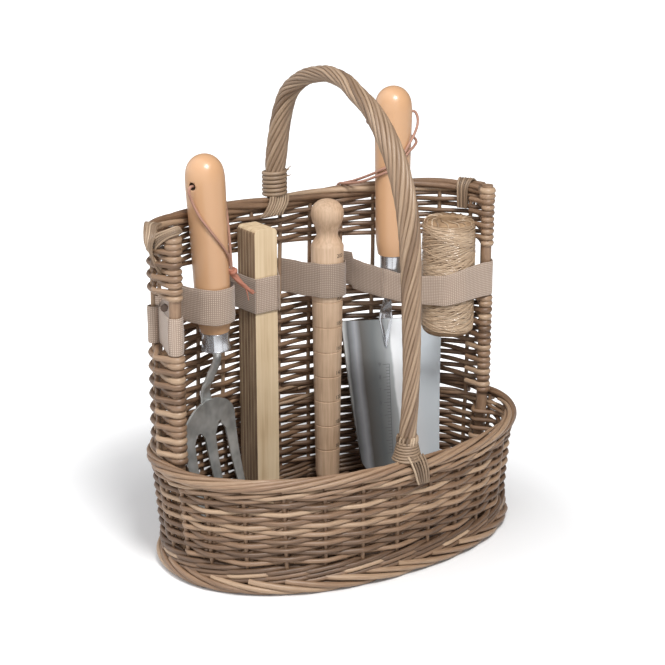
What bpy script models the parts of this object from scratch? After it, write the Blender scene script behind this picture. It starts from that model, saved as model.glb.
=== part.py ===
"""A willow garden basket that holds a hand fork, a trowel, a dibber, six row markers and a spool of twine.

The bowl, its borders and the tall back are wicker. An elastic band runs through a slot in the back and
grips the tools, which stand on the woven floor and lift out. All lengths are metres, +Z is up, the open
front faces -Y, and the origin is on the ground under the middle of the basket.
"""

import math
from bisect import bisect_right

import bmesh
import bpy
from mathutils import Matrix, Vector

# Fits
GAP = 0.0003  # between pieces that touch
MERGE = 0.000001  # points closer than this are one point
OVERRUN = 0.003  # how far a cutter passes a face

# Plan: a squared ellipse, whose cosine and sine are raised to the corner share
CORNER_SHARE = 0.93
PLAN_STEPS = 1440

# Willow: upright stakes and the thinner rods woven round them
STAKE_COUNT = 28
STAKE_TURN_SHARE = 0.19  # how far the first stake stands from the back centre, of the stakes' spacing
STAKE_RADIUS = 0.0020
ROD_RADIUS = 0.0016
CROSSING_SHARE = 1.35  # half thickness of the weave between two stakes, of a rod's radius
DIP_SHARE = 1.1  # half thickness over a bare stake, of its radius
STAKE_SIDES = 8

# Foot border: a rope of rods that the basket stands on
FOOT_SIDE_OUTSET = 0.0022  # beyond the bowl's foot
FOOT_FRONT_OUTSET = 0.0020
FOOT_RADIUS = 0.0057
FOOT_FLAT = 0.0007  # worn off the underside
FOOT_WORN = 0.0013  # what lies lower than this is worn level
FOOT_TURNS = 6
FOOT_STEPS = 60

# Woven floor
FLOOR_BOTTOM = 0.0035
FLOOR_TOP = 0.0080
FLOOR_RIPPLE = 0.0009
FLOOR_RINGS = 8

# Bowl
BOWL_RIM_HALF_WIDTH = 0.1400
BOWL_RIM_HALF_DEPTH = 0.0890
BOWL_SIDE_FLARE = 0.0060  # how far the rim stands out over the foot
BOWL_FRONT_FLARE = 0.0025
BOWL_ROWS = 10

# Rim border: a rope of rods round the mouth of the bowl
RIM_TOP = 0.0844
RIM_RADIUS = 0.0045
RIM_OUTSET = 0.0010
RIM_TURNS = 7
RIM_STEPS = 63

# Corner posts
POST_RADIUS = 0.0042
POST_Y = -0.0030
POST_TOP = 0.2475
POST_BEND = 0.0030  # over and under the bowl's top, where a post turns upright
POST_SIDES = 12

# Back: woven below and above a slot that only the stakes cross
BACK_LEAN = 0.0056  # how far the top stands in over the bowl's rim
SLOT_BOTTOM = 0.1632
SLOT_TOP = 0.1992
WRAP_GAP = 0.0005  # between a post and the rods that turn back round it
WRAP_TOP = 0.2450
LOWER_ROWS = 11
UPPER_ROWS = 6
WRAP_STEPS = 7
WRAP_TIP_DEG = 6

# Top rail: a twisted bundle along the top of the back, lowest at the handle
RAIL_TOP = 0.2390
RAIL_RISE = 0.0070
RAIL_SWEEP_SHARE = 1.3  # power of the rise along the rail
RAIL_RADIUS = 0.0042
RAIL_END_Y = 0.0080
RAIL_TURNS = 5
RAIL_STEPS = 40

# Corner lashings: saddles of fine rods over the rail near its ends, down both faces of the weave
LASHING_HALF_WIDTH = 0.0055
LASHING_PLAY = 0.0009
LASHING_DROP = 0.0220
LASHING_ARC_STEPS = 6
LEFT_LASHING_SHARE = -0.2250  # places on the plan, of its length from the back centre
RIGHT_LASHING_SHARE = 0.2060

# Handle: rods laid in a spiral, from the top rail over to the front rim
HANDLE_TOP = 0.3455
HANDLE_THICK_RADIUS = 0.0080
HANDLE_RODS = 8
HANDLE_TURNS = 4
HANDLE_STEPS = 46
HANDLE_FRONT_INSET = 0.0035  # how far inside the rim's middle the front foot stands
# Each leg's points: depth share of the foot's, height share from foot to apex, radius share of the thickest
BACK_LEG_SHARES = (
    (1.000, 0.000, 0.94),
    (0.990, 0.186, 0.98),
    (0.970, 0.299, 1.00),
    (0.922, 0.483, 0.98),
    (0.852, 0.663, 0.94),
    (0.747, 0.808, 0.88),
    (0.600, 0.897, 0.80),
    (0.437, 0.956, 0.75),
    (0.227, 0.993, 0.73),
)
FRONT_LEG_SHARES = (
    (-0.094, 1.000, 0.73),
    (0.110, 0.990, 0.74),
    (0.260, 0.966, 0.78),
    (0.444, 0.937, 0.82),
    (0.570, 0.905, 0.88),
    (0.695, 0.862, 0.94),
    (0.806, 0.812, 0.96),
    (0.916, 0.734, 0.97),
    (0.973, 0.665, 0.96),
    (1.012, 0.560, 0.92),
    (1.029, 0.430, 0.85),
    (1.041, 0.264, 0.76),
    (1.028, 0.160, 0.74),
    (1.007, 0.089, 0.76),
    (1.000, 0.000, 0.80),
)

# Bindings: fine rods wound round the handle's feet, each a ribbed sleeve
BINDING_PLAY = 0.0007  # between the curved leg and its straight sleeve
BINDING_RIDGE = 0.0009
BACK_BINDING_HEIGHT = 0.0185
BACK_BINDING_RIDGES = 5
FRONT_BINDING_HEIGHT = 0.0190
FRONT_BINDING_RIDGES = 6
FRONT_BINDING_FLARE = 0.0032
BINDING_THICKNESS = 0.0014
BINDING_SIDES = 18

# Handle lashings: flat fans of rods that tie the feet to the rail and the rim
STRAP_THICKNESS = 0.0014
STRAP_RODS = 5
STRAP_RIB = 0.0005
BACK_STRAP_HALF_WIDTH = 0.0090
BACK_STRAP_DROP = 0.0120
FRONT_STRAP_HALF_WIDTH = 0.0062
FRONT_STRAP_DROP = 0.0110
STRAP_ARC_STEPS = 4
STRAP_SIDE = -1  # the straps thicken away from what they tie
STRAP_FAN_SHARE = 1.25  # width at the loose end, of that at the handle

# Elastic band
BAND_WIDTH = 0.0262
BAND_THICKNESS = 0.0014
BAND_ARC_STEPS = 10
BAND_GRIP_SHARE = 0.94  # the fork handle's radius at the band, of its thickest
LEFT_BAND_START_DEG = 60
RIGHT_BAND_END_DEG = -150

# Hand fork
FORK_SHARE = -0.1190  # place on the plan, of its length from the back centre
FORK_LEAN_DEG = 3.4
FORK_PITCH_DEG = 1.2
FORK_YAW_DEG = 20
FORK_FOOT = 0.1410  # height of the ferrule's lower end
FORK_WOOD_LENGTH = 0.1310
FORK_WOOD_RADIUS = 0.0142
FERRULE_LENGTH = 0.0140
FERRULE_RADIUS = 0.0104
FERRULE_LIP = 0.0004
HANG_HOLE_RADIUS = 0.0018
HANG_HOLE_SHARE = 0.845  # height of the hanging hole, of the wood's length
WOOD_SIDES = 20
# Turned wood: height share from the top down, radius share
WOOD_SHARES = (
    (0.000, 0.00),
    (0.006, 0.30),
    (0.024, 0.60),
    (0.060, 0.86),
    (0.110, 0.98),
    (0.180, 1.00),
    (0.400, 0.96),
    (0.640, 0.93),
    (0.820, 0.91),
    (0.930, 0.86),
    (1.000, 0.76),
)
NECK_RADIUS = 0.0031
TUBE_ROUND_STEPS = 2
NECK_BURY = 0.0030
NECK_START_SHARE = 0.2  # straight stretch at each end of the neck, of its length
NECK_STEPS = 12
FORK_OFFSET = 0.0130  # how far the blade stands behind the handle's axis
FORK_NECK_LENGTH = 0.0440
FORK_HEAD_LENGTH = 0.0850
FORK_HEAD_HALF_WIDTH = 0.0296
FORK_TINE_HALF_WIDTH = 0.0055
FORK_TIP_HALF_WIDTH = 0.0022
FORK_SLOT_SHARE = 0.26  # where the slots between the tines start, of the head's length
FORK_SWEEP = 0.0120  # how far the tips come forward
FORK_CREASE = 0.0030
PLATE_THICKNESS = 0.0016
FORK_ROWS = 13

# Trowel
TROWEL_SHARE = 0.1300
TROWEL_STANDOFF = 0.0060
TROWEL_YAW_DEG = -18
TROWEL_FOOT = 0.1780
TROWEL_WOOD_LENGTH = 0.1280
TROWEL_WOOD_RADIUS = 0.0140
TROWEL_FERRULE_RADIUS = 0.0092
TROWEL_OFFSET = 0.0130
TROWEL_BLADE_TOP = 0.1285
TROWEL_HALF_WIDTH = 0.0366
TROWEL_LOW_SHARE = 0.78  # half width where the rounded tip begins, of that at the shoulders
TROWEL_TIP_SHARE = 0.84  # where the rounded tip begins, of the blade's length
TROWEL_TROUGH = 0.0070
TROWEL_SWEEP = 0.0180
TROWEL_ROWS = 12
TROWEL_COLUMNS = 8

# Dibber
DIBBER_SHARE = 0.0505
DIBBER_RADIUS = 0.0125
DIBBER_TIP_RADIUS = 0.0093
DIBBER_TOP = 0.2370
DIBBER_SHOULDER = 0.2010
DIBBER_TIP_HEIGHT = 0.0110
GROOVE_PITCH = 0.0200
GROOVE_TOP = 0.1587
GROOVE_COUNT = 7
GROOVE_DEPTH = 0.0006
GROOVE_HALF_WIDTH = 0.0007
DIBBER_SIDES = 16
TIP_STEPS = 4
# Dibber head: height share from top to shoulder, radius share
DIBBER_HEAD_SHARES = (
    (0.00, 0.00),
    (0.02, 0.36),
    (0.08, 0.68),
    (0.18, 0.92),
    (0.30, 1.00),
    (0.44, 0.94),
    (0.58, 0.78),
    (0.70, 0.67),
    (0.80, 0.68),
    (0.90, 0.86),
)

# Row markers
MARKER_COUNT = 6
MARKER_WIDTH = 0.0190
MARKER_THICKNESS = 0.0038
MARKER_TOP = 0.2255
MARKER_CORNER = 0.0040
MARKER_POINT_LENGTH = 0.0260
MARKER_POINT_WIDTH = 0.0070
MARKER_SHARE = -0.0450
MARKER_STANDOFF = 0.0040
MARKER_CORNER_STEPS = 3

# Twine
TWINE_BOTTOM = 0.1330
TWINE_HEIGHT = 0.0880
TWINE_RADIUS = 0.0203
TWINE_STRAND_RADIUS = 0.0016
TWINE_LOOPS = 18
TWINE_LOOP_STEPS = 10
TWINE_SLANT = 0.0018
TWINE_DISH_RADIUS = 0.0080
TWINE_DISH_DEPTH = 0.0090
TWINE_BEARING_DEG = 151  # direction of the spool from the right post
TWINE_SIDES = 24

# Laces: leather cords. A route's steps: degrees round the handle from its front, height share of the wood
# and lift off the wood; a lace crosses the handle in the hanging hole
LACE_RADIUS = 0.0010
KNOT_RADIUS = 0.0024
LACE_SPACING = 0.0042
FORK_LACE_ROUTE = (
    (32.0, 0.350, 0.0000),
    (22.0, 0.412, 0.0000),
    (4.0, 0.466, 0.0000),
    (-25.0, 0.547, 0.0000),
    (-49.0, 0.620, 0.0000),
    (-69.0, 0.683, 0.0002),
    (-84.0, 0.748, 0.0006),
    (-89.0, 0.800, 0.0020),
    (-90.0, 0.832, 0.0026),
    (-90.0, 0.845, 0.0008),
    (-90.0, 0.845, -0.0040),
    (90.0, 0.845, -0.0040),
    (90.0, 0.845, 0.0008),
    (89.0, 0.832, 0.0026),
    (86.0, 0.790, 0.0020),
    (76.0, 0.702, 0.0010),
    (62.0, 0.580, 0.0004),
    (51.0, 0.451, 0.0002),
    (45.0, 0.350, 0.0002),
)
FORK_TAIL_ROUTE = (
    (38.5, 0.347, 0.0004),
    (39.0, 0.318, 0.0016),
    (41.0, 0.280, 0.0046),
    (43.0, 0.238, 0.0095),
    (45.0, 0.195, 0.0146),
)
TROWEL_LACE_ROUTE = (
    (-139.4, 0.279, 0.0322),
    (-139.6, 0.334, 0.0318),
    (-137.7, 0.380, 0.0298),
    (-131.8, 0.402, 0.0242),
    (-124.2, 0.424, 0.0166),
    (-108.3, 0.462, 0.0066),
    (-76.0, 0.502, 0.0004),
    (-55.0, 0.523, 0.0000),
    (-35.0, 0.543, 0.0000),
    (-16.0, 0.566, 0.0000),
    (6.0, 0.600, 0.0000),
    (32.0, 0.666, 0.0000),
    (60.0, 0.726, 0.0012),
    (80.0, 0.780, 0.0032),
    (90.0, 0.828, 0.0030),
    (90.0, 0.845, 0.0008),
    (90.0, 0.845, -0.0040),
    (-90.0, 0.845, -0.0040),
    (-90.0, 0.845, 0.0008),
    (-92.0, 0.832, 0.0030),
    (-112.0, 0.785, 0.0040),
    (-149.0, 0.748, 0.0030),
    (175.0, 0.722, 0.0026),
    (143.0, 0.704, 0.0030),
    (115.0, 0.690, 0.0034),
    (86.0, 0.672, 0.0030),
    (58.0, 0.650, 0.0010),
    (32.0, 0.624, 0.0000),
    (6.0, 0.568, 0.0000),
    (-16.0, 0.535, 0.0000),
    (-35.0, 0.516, 0.0000),
    (-55.0, 0.496, 0.0002),
    (-74.0, 0.478, 0.0009),
    (-105.0, 0.437, 0.0085),
    (-121.0, 0.411, 0.0194),
    (-128.0, 0.400, 0.0270),
    (-134.0, 0.378, 0.0322),
    (-135.6, 0.334, 0.0340),
    (-136.0, 0.279, 0.0345),
)
TROWEL_KNOT = (-137.7, 0.2585, 0.0334)

# Derived heights and widths
BOWL_FOOT_HALF_WIDTH = BOWL_RIM_HALF_WIDTH - BOWL_SIDE_FLARE
BOWL_FOOT_HALF_DEPTH = BOWL_RIM_HALF_DEPTH - BOWL_FRONT_FLARE
FOOT_HALF_WIDTH = BOWL_FOOT_HALF_WIDTH + FOOT_SIDE_OUTSET
FOOT_HALF_DEPTH = BOWL_FOOT_HALF_DEPTH + FOOT_FRONT_OUTSET
BACK_TOP_HALF_DEPTH = BOWL_RIM_HALF_DEPTH - BACK_LEAN
FOOT_CENTRE = FOOT_RADIUS - FOOT_FLAT
BOWL_BOTTOM = FOOT_CENTRE + FOOT_RADIUS + GAP
RIM_CENTRE = RIM_TOP - RIM_RADIUS
BOWL_TOP = RIM_CENTRE - RIM_RADIUS - GAP
BOWL_INSIDE = ROD_RADIUS * CROSSING_SHARE
POST_X = BOWL_RIM_HALF_WIDTH - BOWL_INSIDE - GAP - POST_RADIUS
RIM_HALF_WIDTH = POST_X + POST_RADIUS + GAP + RIM_RADIUS
RIM_HALF_DEPTH = BOWL_RIM_HALF_DEPTH + RIM_OUTSET
WRAP_RADIUS = POST_RADIUS + WRAP_GAP + ROD_RADIUS
BACK_HALF_WIDTH = POST_X + WRAP_RADIUS
BACK_BOTTOM = RIM_TOP + GAP
BULGE = STAKE_RADIUS + 2 * ROD_RADIUS
RAIL_CENTRE = RAIL_TOP - RAIL_RADIUS
STAND = FLOOR_TOP + GAP  # the tools' feet
BAND_MIDDLE = SLOT_BOTTOM + GAP + BAND_WIDTH / 2


class Plan:
    """The basket's outline at one level, read by the share of its length from the back centre to +X."""

    def __init__(self, half_width, half_depth):
        self.points = []
        for step in range(PLAN_STEPS + 1):
            angle = 2 * math.pi * step / PLAN_STEPS
            across = math.copysign(abs(math.sin(angle)) ** CORNER_SHARE, math.sin(angle))
            back = math.copysign(abs(math.cos(angle)) ** CORNER_SHARE, math.cos(angle))
            self.points.append(Vector((half_width * across, half_depth * back, 0)))
        self.lengths = [0]
        for first, second in zip(self.points, self.points[1:]):
            self.lengths.append(self.lengths[-1] + (second - first).length)

    def at(self, share):
        """The point and the outward direction at a share of the outline."""
        distance = share % 1 * self.lengths[-1]
        index = min(bisect_right(self.lengths, distance), PLAN_STEPS) - 1
        first = self.points[index]
        along = self.points[index + 1] - first
        part = (distance - self.lengths[index]) / along.length
        return first + along * part, Vector((-along.y, along.x, 0)).normalized()


class Wall:
    """A leaning wall between the outlines at two levels."""

    def __init__(self, low_plan, low, high_plan, high):
        self.low_plan = low_plan
        self.high_plan = high_plan
        self.low = low
        self.high = high

    def at(self, share, height):
        """The point at a height and the outward direction there."""
        low_point, outward = self.low_plan.at(share)
        high_point, _ = self.high_plan.at(share)
        point = low_point.lerp(high_point, (height - self.low) / (self.high - self.low))
        point.z = height
        return point, outward


BOWL = Wall(
    Plan(BOWL_FOOT_HALF_WIDTH, BOWL_FOOT_HALF_DEPTH),
    BOWL_BOTTOM,
    Plan(BOWL_RIM_HALF_WIDTH, BOWL_RIM_HALF_DEPTH),
    BOWL_TOP,
)
BACK = Wall(
    Plan(BACK_HALF_WIDTH, BOWL_RIM_HALF_DEPTH),
    BACK_BOTTOM,
    Plan(BACK_HALF_WIDTH, BACK_TOP_HALF_DEPTH),
    RAIL_CENTRE,
)


def stake_share(number):
    """Place of a stake on the plan, counted from the back centre to +X."""
    return (number + STAKE_TURN_SHARE) / STAKE_COUNT


def rail_lift(x):
    """How far the rail has risen at a distance from its middle."""
    return RAIL_RISE * (abs(x) / BACK_HALF_WIDTH) ** RAIL_SWEEP_SHARE


def post_centre(side):
    """Middle of the left (-1) or right (+1) post above the rim."""
    return Vector((side * POST_X, POST_Y, 0))


def against_back(share, distance):
    """A place in front of the back's upper edge, at a distance from the middle of its weave."""
    point, outward = BACK.at(share, RAIL_CENTRE)
    place = point - outward * distance
    place.z = 0
    return place


# Scene, materials and objects


def clear_scene():
    for thing in list(bpy.data.objects):
        bpy.data.objects.remove(thing)


def collection(name):
    group = bpy.data.collections.new(name)
    bpy.context.scene.collection.children.link(group)
    return group


def material(name, color, roughness, metallic=0):
    surface = bpy.data.materials.new(name)
    surface.use_nodes = True
    shader = surface.node_tree.nodes["Principled BSDF"]
    shader.inputs["Base Color"].default_value = (*color, 1)
    shader.inputs["Roughness"].default_value = roughness
    shader.inputs["Metallic"].default_value = metallic
    surface.diffuse_color = (*color, 1)
    return surface


def add_object(name, data, surface, group=None, carrier=None):
    """Links an object with its own copy of a material."""
    thing = bpy.data.objects.new(name, data)
    (group or PARTS).objects.link(thing)
    own = surface.copy()
    own.name = name
    data.materials.append(own)
    thing.parent = carrier
    return thing


def make_cutter(thing):
    """Hides an object that only shapes another."""
    thing.hide_render = True
    thing.display_type = "WIRE"
    return thing


def add_boolean(thing, cutter, operation):
    cut = thing.modifiers.new(operation.title(), "BOOLEAN")
    cut.operation = operation
    cut.solver = "EXACT"
    cut.object = cutter


# Shapes


def grid_mesh(name, columns, rows, place, closed=True):
    """A grid whose corner (column, row) goes to place(column, row); a closed one has its seams merged."""
    mesh = bpy.data.meshes.new(name)
    skin = bmesh.new()
    bmesh.ops.create_grid(skin, x_segments=columns, y_segments=rows, size=1)
    for corner in skin.verts:
        column = round((corner.co.x + 1) / 2 * columns)
        row = round((corner.co.y + 1) / 2 * rows)
        corner.co = place(column, row)
    if closed:
        bmesh.ops.remove_doubles(skin, verts=skin.verts, dist=MERGE)
        bmesh.ops.recalc_face_normals(skin, faces=skin.faces)
        if skin.calc_volume(signed=True) < 0:
            bmesh.ops.reverse_faces(skin, faces=skin.faces)
    skin.to_mesh(mesh)
    skin.free()
    return mesh


def poly_curve(name, points, cyclic=False, radii=None, tilts=None):
    """A curve of straight steps through points."""
    curve = bpy.data.curves.new(name, "CURVE")
    curve.dimensions = "3D"
    line = curve.splines.new("POLY")
    line.points.add(len(points) - 1)
    for index, point in enumerate(points):
        line.points[index].co = (*point, 1)
        if radii:
            line.points[index].radius = radii[index]
        if tilts:
            line.points[index].tilt = tilts[index]
    line.use_cyclic_u = cyclic
    return curve


def tube_curve(name, points, radius, level=TUBE_ROUND_STEPS, radii=None):
    curve = poly_curve(name, points, radii=radii)
    curve.bevel_depth = radius
    curve.bevel_resolution = level
    curve.use_fill_caps = True
    return curve


def mesh_from_curve(name, curve, surface, group=None, carrier=None):
    """A curve's skin as a closed mesh object, with its caps welded; the curve is removed."""
    guide = bpy.data.objects.new(name + "_guide", curve)
    bpy.context.scene.collection.objects.link(guide)
    bpy.context.view_layer.update()
    graph = bpy.context.evaluated_depsgraph_get()
    mesh = bpy.data.meshes.new_from_object(guide.evaluated_get(graph))
    bpy.data.objects.remove(guide)
    skin = bmesh.new()
    skin.from_mesh(mesh)
    bmesh.ops.remove_doubles(skin, verts=skin.verts, dist=MERGE)
    skin.to_mesh(mesh)
    skin.free()
    mesh.name = name
    return add_object(name, mesh, surface, group, carrier)


def strand_outline(name, radius, strands, points_each, hollow_share):
    """The cross-section of a rope: as many round lobes as it has strands."""
    count = strands * points_each
    outline = []
    for step in range(count):
        turn = step / count
        dip = hollow_share * (1 - math.cos(2 * math.pi * strands * turn)) / 2
        angle = 2 * math.pi * turn
        reach = radius * (1 - dip)
        outline.append(Vector((reach * math.cos(angle), -reach * math.sin(angle), 0)))
    guide = bpy.data.objects.new(name + "_outline", poly_curve(name + "_outline", outline, cyclic=True))
    GUIDES.objects.link(guide)
    return make_cutter(guide)


def rope_curve(name, points, radius, strands, turns, cyclic=False, radii=None, points_each=3, hollow_share=0.22):
    """A rope along a line: its lobed section turns steadily from end to end."""
    last = len(points) if cyclic else len(points) - 1
    tilts = [2 * math.pi * turns * index / last for index in range(len(points))]
    curve = poly_curve(name, points, cyclic, radii, tilts)
    curve.twist_mode = "Z_UP" if cyclic else "MINIMUM"
    curve.bevel_mode = "OBJECT"
    curve.bevel_object = strand_outline(name, radius, strands, points_each, hollow_share)
    curve.use_fill_caps = not cyclic
    return curve


def turned(name, profile, surface, sides, closed=False, carrier=None, centre=(0, 0), group=None):
    """A solid of revolution about a vertical line, from a profile of (radius, height) read from the top down."""
    mesh = bpy.data.meshes.new(name)
    edges = [(index, index + 1) for index in range(len(profile) - 1)]
    if closed:
        edges.append((len(profile) - 1, 0))
    mesh.from_pydata([(radius, 0, height) for radius, height in profile], edges, [])
    thing = add_object(name, mesh, surface, group, carrier)
    thing.location = (*centre, 0)
    screw = thing.modifiers.new("Screw", "SCREW")
    screw.steps = sides
    screw.render_steps = sides
    screw.use_merge_vertices = True
    screw.merge_threshold = MERGE
    return thing


def smooth_points(points, spacing=None, steps=None):
    """Evenly spaced points on a smooth curve through the given ones."""
    route = [Vector(point) for point in points]
    line = [route[0] * 2 - route[1]] + route + [route[-1] * 2 - route[-2]]
    dense = []
    fineness = 16
    for before, start, end, after in zip(line, line[1:], line[2:], line[3:]):
        for step in range(fineness):
            t = step / fineness
            dense.append(
                (start * 2 + (end - before) * t + (before * 2 - start * 5 + end * 4 - after) * t**2
                 + (start * 3 - before - end * 3 + after) * t**3) / 2
            )
    dense.append(route[-1])
    lengths = [0]
    for first, second in zip(dense, dense[1:]):
        lengths.append(lengths[-1] + (second - first).length)
    count = steps or max(2, round(lengths[-1] / spacing))
    result = []
    for index in range(count + 1):
        distance = lengths[-1] * index / count
        place = min(bisect_right(lengths, distance), len(dense) - 1) - 1
        part = (distance - lengths[place]) / (lengths[place + 1] - lengths[place])
        result.append(dense[place].lerp(dense[place + 1], part))
    return result


# Wicker


def weave_offset(stake, row, side):
    """How far a face of the weave stands from its middle: rods pass outside one stake and inside the next."""
    if row is None:
        return ROD_RADIUS
    if stake is None:
        return ROD_RADIUS * CROSSING_SHARE
    outside = (stake + row) % 2 == 0
    if outside == (side > 0):
        return BULGE
    return STAKE_RADIUS * DIP_SHARE


def woven_levels(rows, both_faces):
    """Height share, row and face of each line round a woven wall's section: up outside and down inside."""
    outer = [(0, None, 1)] + [((row + 0.5) / rows, row, 1) for row in range(rows)] + [(1, None, 1)]
    if not both_faces:
        return outer + [(1, None, -1), (0, None, -1)]
    return outer + [(share, row, -1) for share, row, _ in reversed(outer)]


def build_bowl():
    levels = woven_levels(BOWL_ROWS, both_faces=False)
    columns = 2 * STAKE_COUNT

    def place(column, line):
        share, row, side = levels[line % len(levels)]
        stake = None if column % 2 else column // 2
        height = BOWL_BOTTOM + (BOWL_TOP - BOWL_BOTTOM) * share
        point, outward = BOWL.at(stake_share(column % columns / 2), height)
        reach = weave_offset(stake, row, side) if side > 0 else BOWL_INSIDE
        return point + outward * (side * reach)

    mesh = grid_mesh("bowl_wall", columns, len(levels), place)
    return add_object("bowl_wall", mesh, WILLOW)


def back_columns():
    """The lines of the back's weave, from the end round the left post to the end round the right one."""
    turn = 180 / (WRAP_STEPS - 1)
    left = [("wrap", -1, 360 + WRAP_TIP_DEG, 0)]
    left += [("wrap", -1, 360 - turn * step, 1) for step in range(WRAP_STEPS)]
    right = [("wrap", 1, -turn * step, 1) for step in range(WRAP_STEPS)]
    right += [("wrap", 1, -180 - WRAP_TIP_DEG, 0)]
    first = -(STAKE_COUNT // 4)
    middle = []
    for number in range(STAKE_COUNT // 2):
        middle.append(("stake", stake_share(first + number), first + number, 1))
        middle.append(("stake", stake_share(first + number + 0.5), None, 1))
    middle[-1] = ("stake", -stake_share(first), None, 1)
    return left + middle + right


def woven_back(name, bottom, top, rows, surface, group=None):
    """A zone of the back between two heights, each a function of the place on the wall."""
    columns = back_columns()
    levels = woven_levels(rows, both_faces=True)

    def place(column, line):
        share, row, side = levels[line % len(levels)]
        kind, where, what, thick = columns[column]
        if kind == "wrap":
            angle = math.radians(what)
            direction = Vector((math.cos(angle), math.sin(angle), 0))
            point = post_centre(where) + direction * (WRAP_RADIUS + side * thick * ROD_RADIUS)
            point.z = bottom + (min(top(None), WRAP_TOP) - bottom) * share
            return point
        edge, outward = BACK.at(where, bottom)
        height = bottom + (top(edge.x) - bottom) * share
        point, outward = BACK.at(where, height)
        return point + outward * (side * weave_offset(what, row, side))

    mesh = grid_mesh(name, len(columns) - 1, len(levels), place)
    return add_object(name, mesh, surface, group)


def under_rail(x):
    """Top of the upper weave: just under the rail, and higher where it turns round a post."""
    if x is None:
        return WRAP_TOP
    return RAIL_TOP + rail_lift(x) - 2 * RAIL_RADIUS - GAP


def build_back():
    lower = woven_back("back_panel", BACK_BOTTOM, lambda x: SLOT_BOTTOM, LOWER_ROWS, WILLOW)
    upper = make_cutter(woven_back("upper_weave", SLOT_TOP, under_rail, UPPER_ROWS, WILLOW, GUIDES))
    mesh = bpy.data.meshes.new("slot_stakes")
    rods = bmesh.new()
    for number in range(STAKE_COUNT // 2):
        share = stake_share(number - STAKE_COUNT // 4)
        low, _ = BACK.at(share, SLOT_BOTTOM - OVERRUN)
        high, _ = BACK.at(share, SLOT_TOP + OVERRUN)
        lean = (high - low).to_track_quat("Z", "Y").to_matrix().to_4x4()
        bmesh.ops.create_cone(
            rods,
            cap_ends=True,
            segments=STAKE_SIDES,
            radius1=STAKE_RADIUS,
            radius2=STAKE_RADIUS,
            depth=(high - low).length,
            matrix=Matrix.Translation((low + high) / 2) @ lean,
        )
    rods.to_mesh(mesh)
    rods.free()
    stakes = make_cutter(add_object("slot_stakes", mesh, WILLOW, GUIDES))
    add_boolean(lower, stakes, "UNION")
    add_boolean(lower, upper, "UNION")
    return lower


def ring_points(plan, height, steps):
    points = []
    for step in range(steps):
        point, _ = plan.at(step / steps)
        point.z = height
        points.append(point)
    return points


def build_foot():
    plan = Plan(FOOT_HALF_WIDTH, FOOT_HALF_DEPTH)
    points = ring_points(plan, FOOT_CENTRE, FOOT_STEPS)
    curve = rope_curve("foot_border", points, FOOT_RADIUS, 3, FOOT_TURNS, cyclic=True)
    foot = mesh_from_curve("foot_border", curve, WILLOW)
    for corner in foot.data.vertices:
        if corner.co.z < FOOT_WORN:
            corner.co.z = 0
    return foot


def build_rim():
    plan = Plan(RIM_HALF_WIDTH, RIM_HALF_DEPTH)
    points = ring_points(plan, RIM_CENTRE, RIM_STEPS)
    curve = rope_curve("rim_border", points, RIM_RADIUS, 3, RIM_TURNS, cyclic=True)
    return mesh_from_curve("rim_border", curve, WILLOW)


def build_floor():
    """A plate woven in rings, which fills the foot border."""
    plan = Plan(FOOT_HALF_WIDTH - FOOT_RADIUS - GAP, FOOT_HALF_DEPTH - FOOT_RADIUS - GAP)
    rings = [(0, 0)]
    rings += [((ring + 0.5) / FLOOR_RINGS, ring % 2) for ring in range(FLOOR_RINGS)]
    lines = [(share, FLOOR_TOP - FLOOR_RIPPLE * low) for share, low in rings]
    lines += [(1, (FLOOR_TOP + FLOOR_BOTTOM) / 2), (lines[-1][0], FLOOR_BOTTOM), (0, FLOOR_BOTTOM)]

    def place(column, line):
        share, height = lines[line]
        point, _ = plan.at(column % STAKE_COUNT / STAKE_COUNT)
        point = point * share
        point.z = height
        return point

    mesh = grid_mesh("woven_floor", STAKE_COUNT, len(lines) - 1, place)
    return add_object("woven_floor", mesh, WILLOW)


def build_posts():
    """Two thick corner stakes: upright above the bowl, and leaning along its inner face below."""
    lean = (BOWL_RIM_HALF_WIDTH - BOWL_FOOT_HALF_WIDTH) / (BOWL_TOP - BOWL_BOTTOM)
    for name, side in (("left_post", -1), ("right_post", 1)):
        points = [
            (side * (POST_X - lean * (BOWL_TOP - STAND)), POST_Y, STAND),
            (side * (POST_X - lean * POST_BEND), POST_Y, BOWL_TOP - POST_BEND),
            (side * POST_X, POST_Y, BOWL_TOP + POST_BEND),
            (side * POST_X, POST_Y, POST_TOP),
        ]
        curve = tube_curve(name, points, POST_RADIUS, (POST_SIDES - 4) // 2)
        add_object(name, curve, WILLOW)


def rail_points():
    """The rail's centre line, from the left post round the back to the right one."""
    plan = Plan(BACK_HALF_WIDTH, BACK_TOP_HALF_DEPTH)
    end = 0
    while plan.at(end)[0].y > RAIL_END_Y:
        end += 1 / PLAN_STEPS
    points = []
    for step in range(RAIL_STEPS + 1):
        point, _ = plan.at(end * (2 * step / RAIL_STEPS - 1))
        point.z = RAIL_CENTRE + rail_lift(point.x)
        points.append(point)
    return points


def build_rail():
    curve = rope_curve("top_rail", rail_points(), RAIL_RADIUS, 3, RAIL_TURNS)
    return add_object("top_rail", curve, WILLOW)


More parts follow.
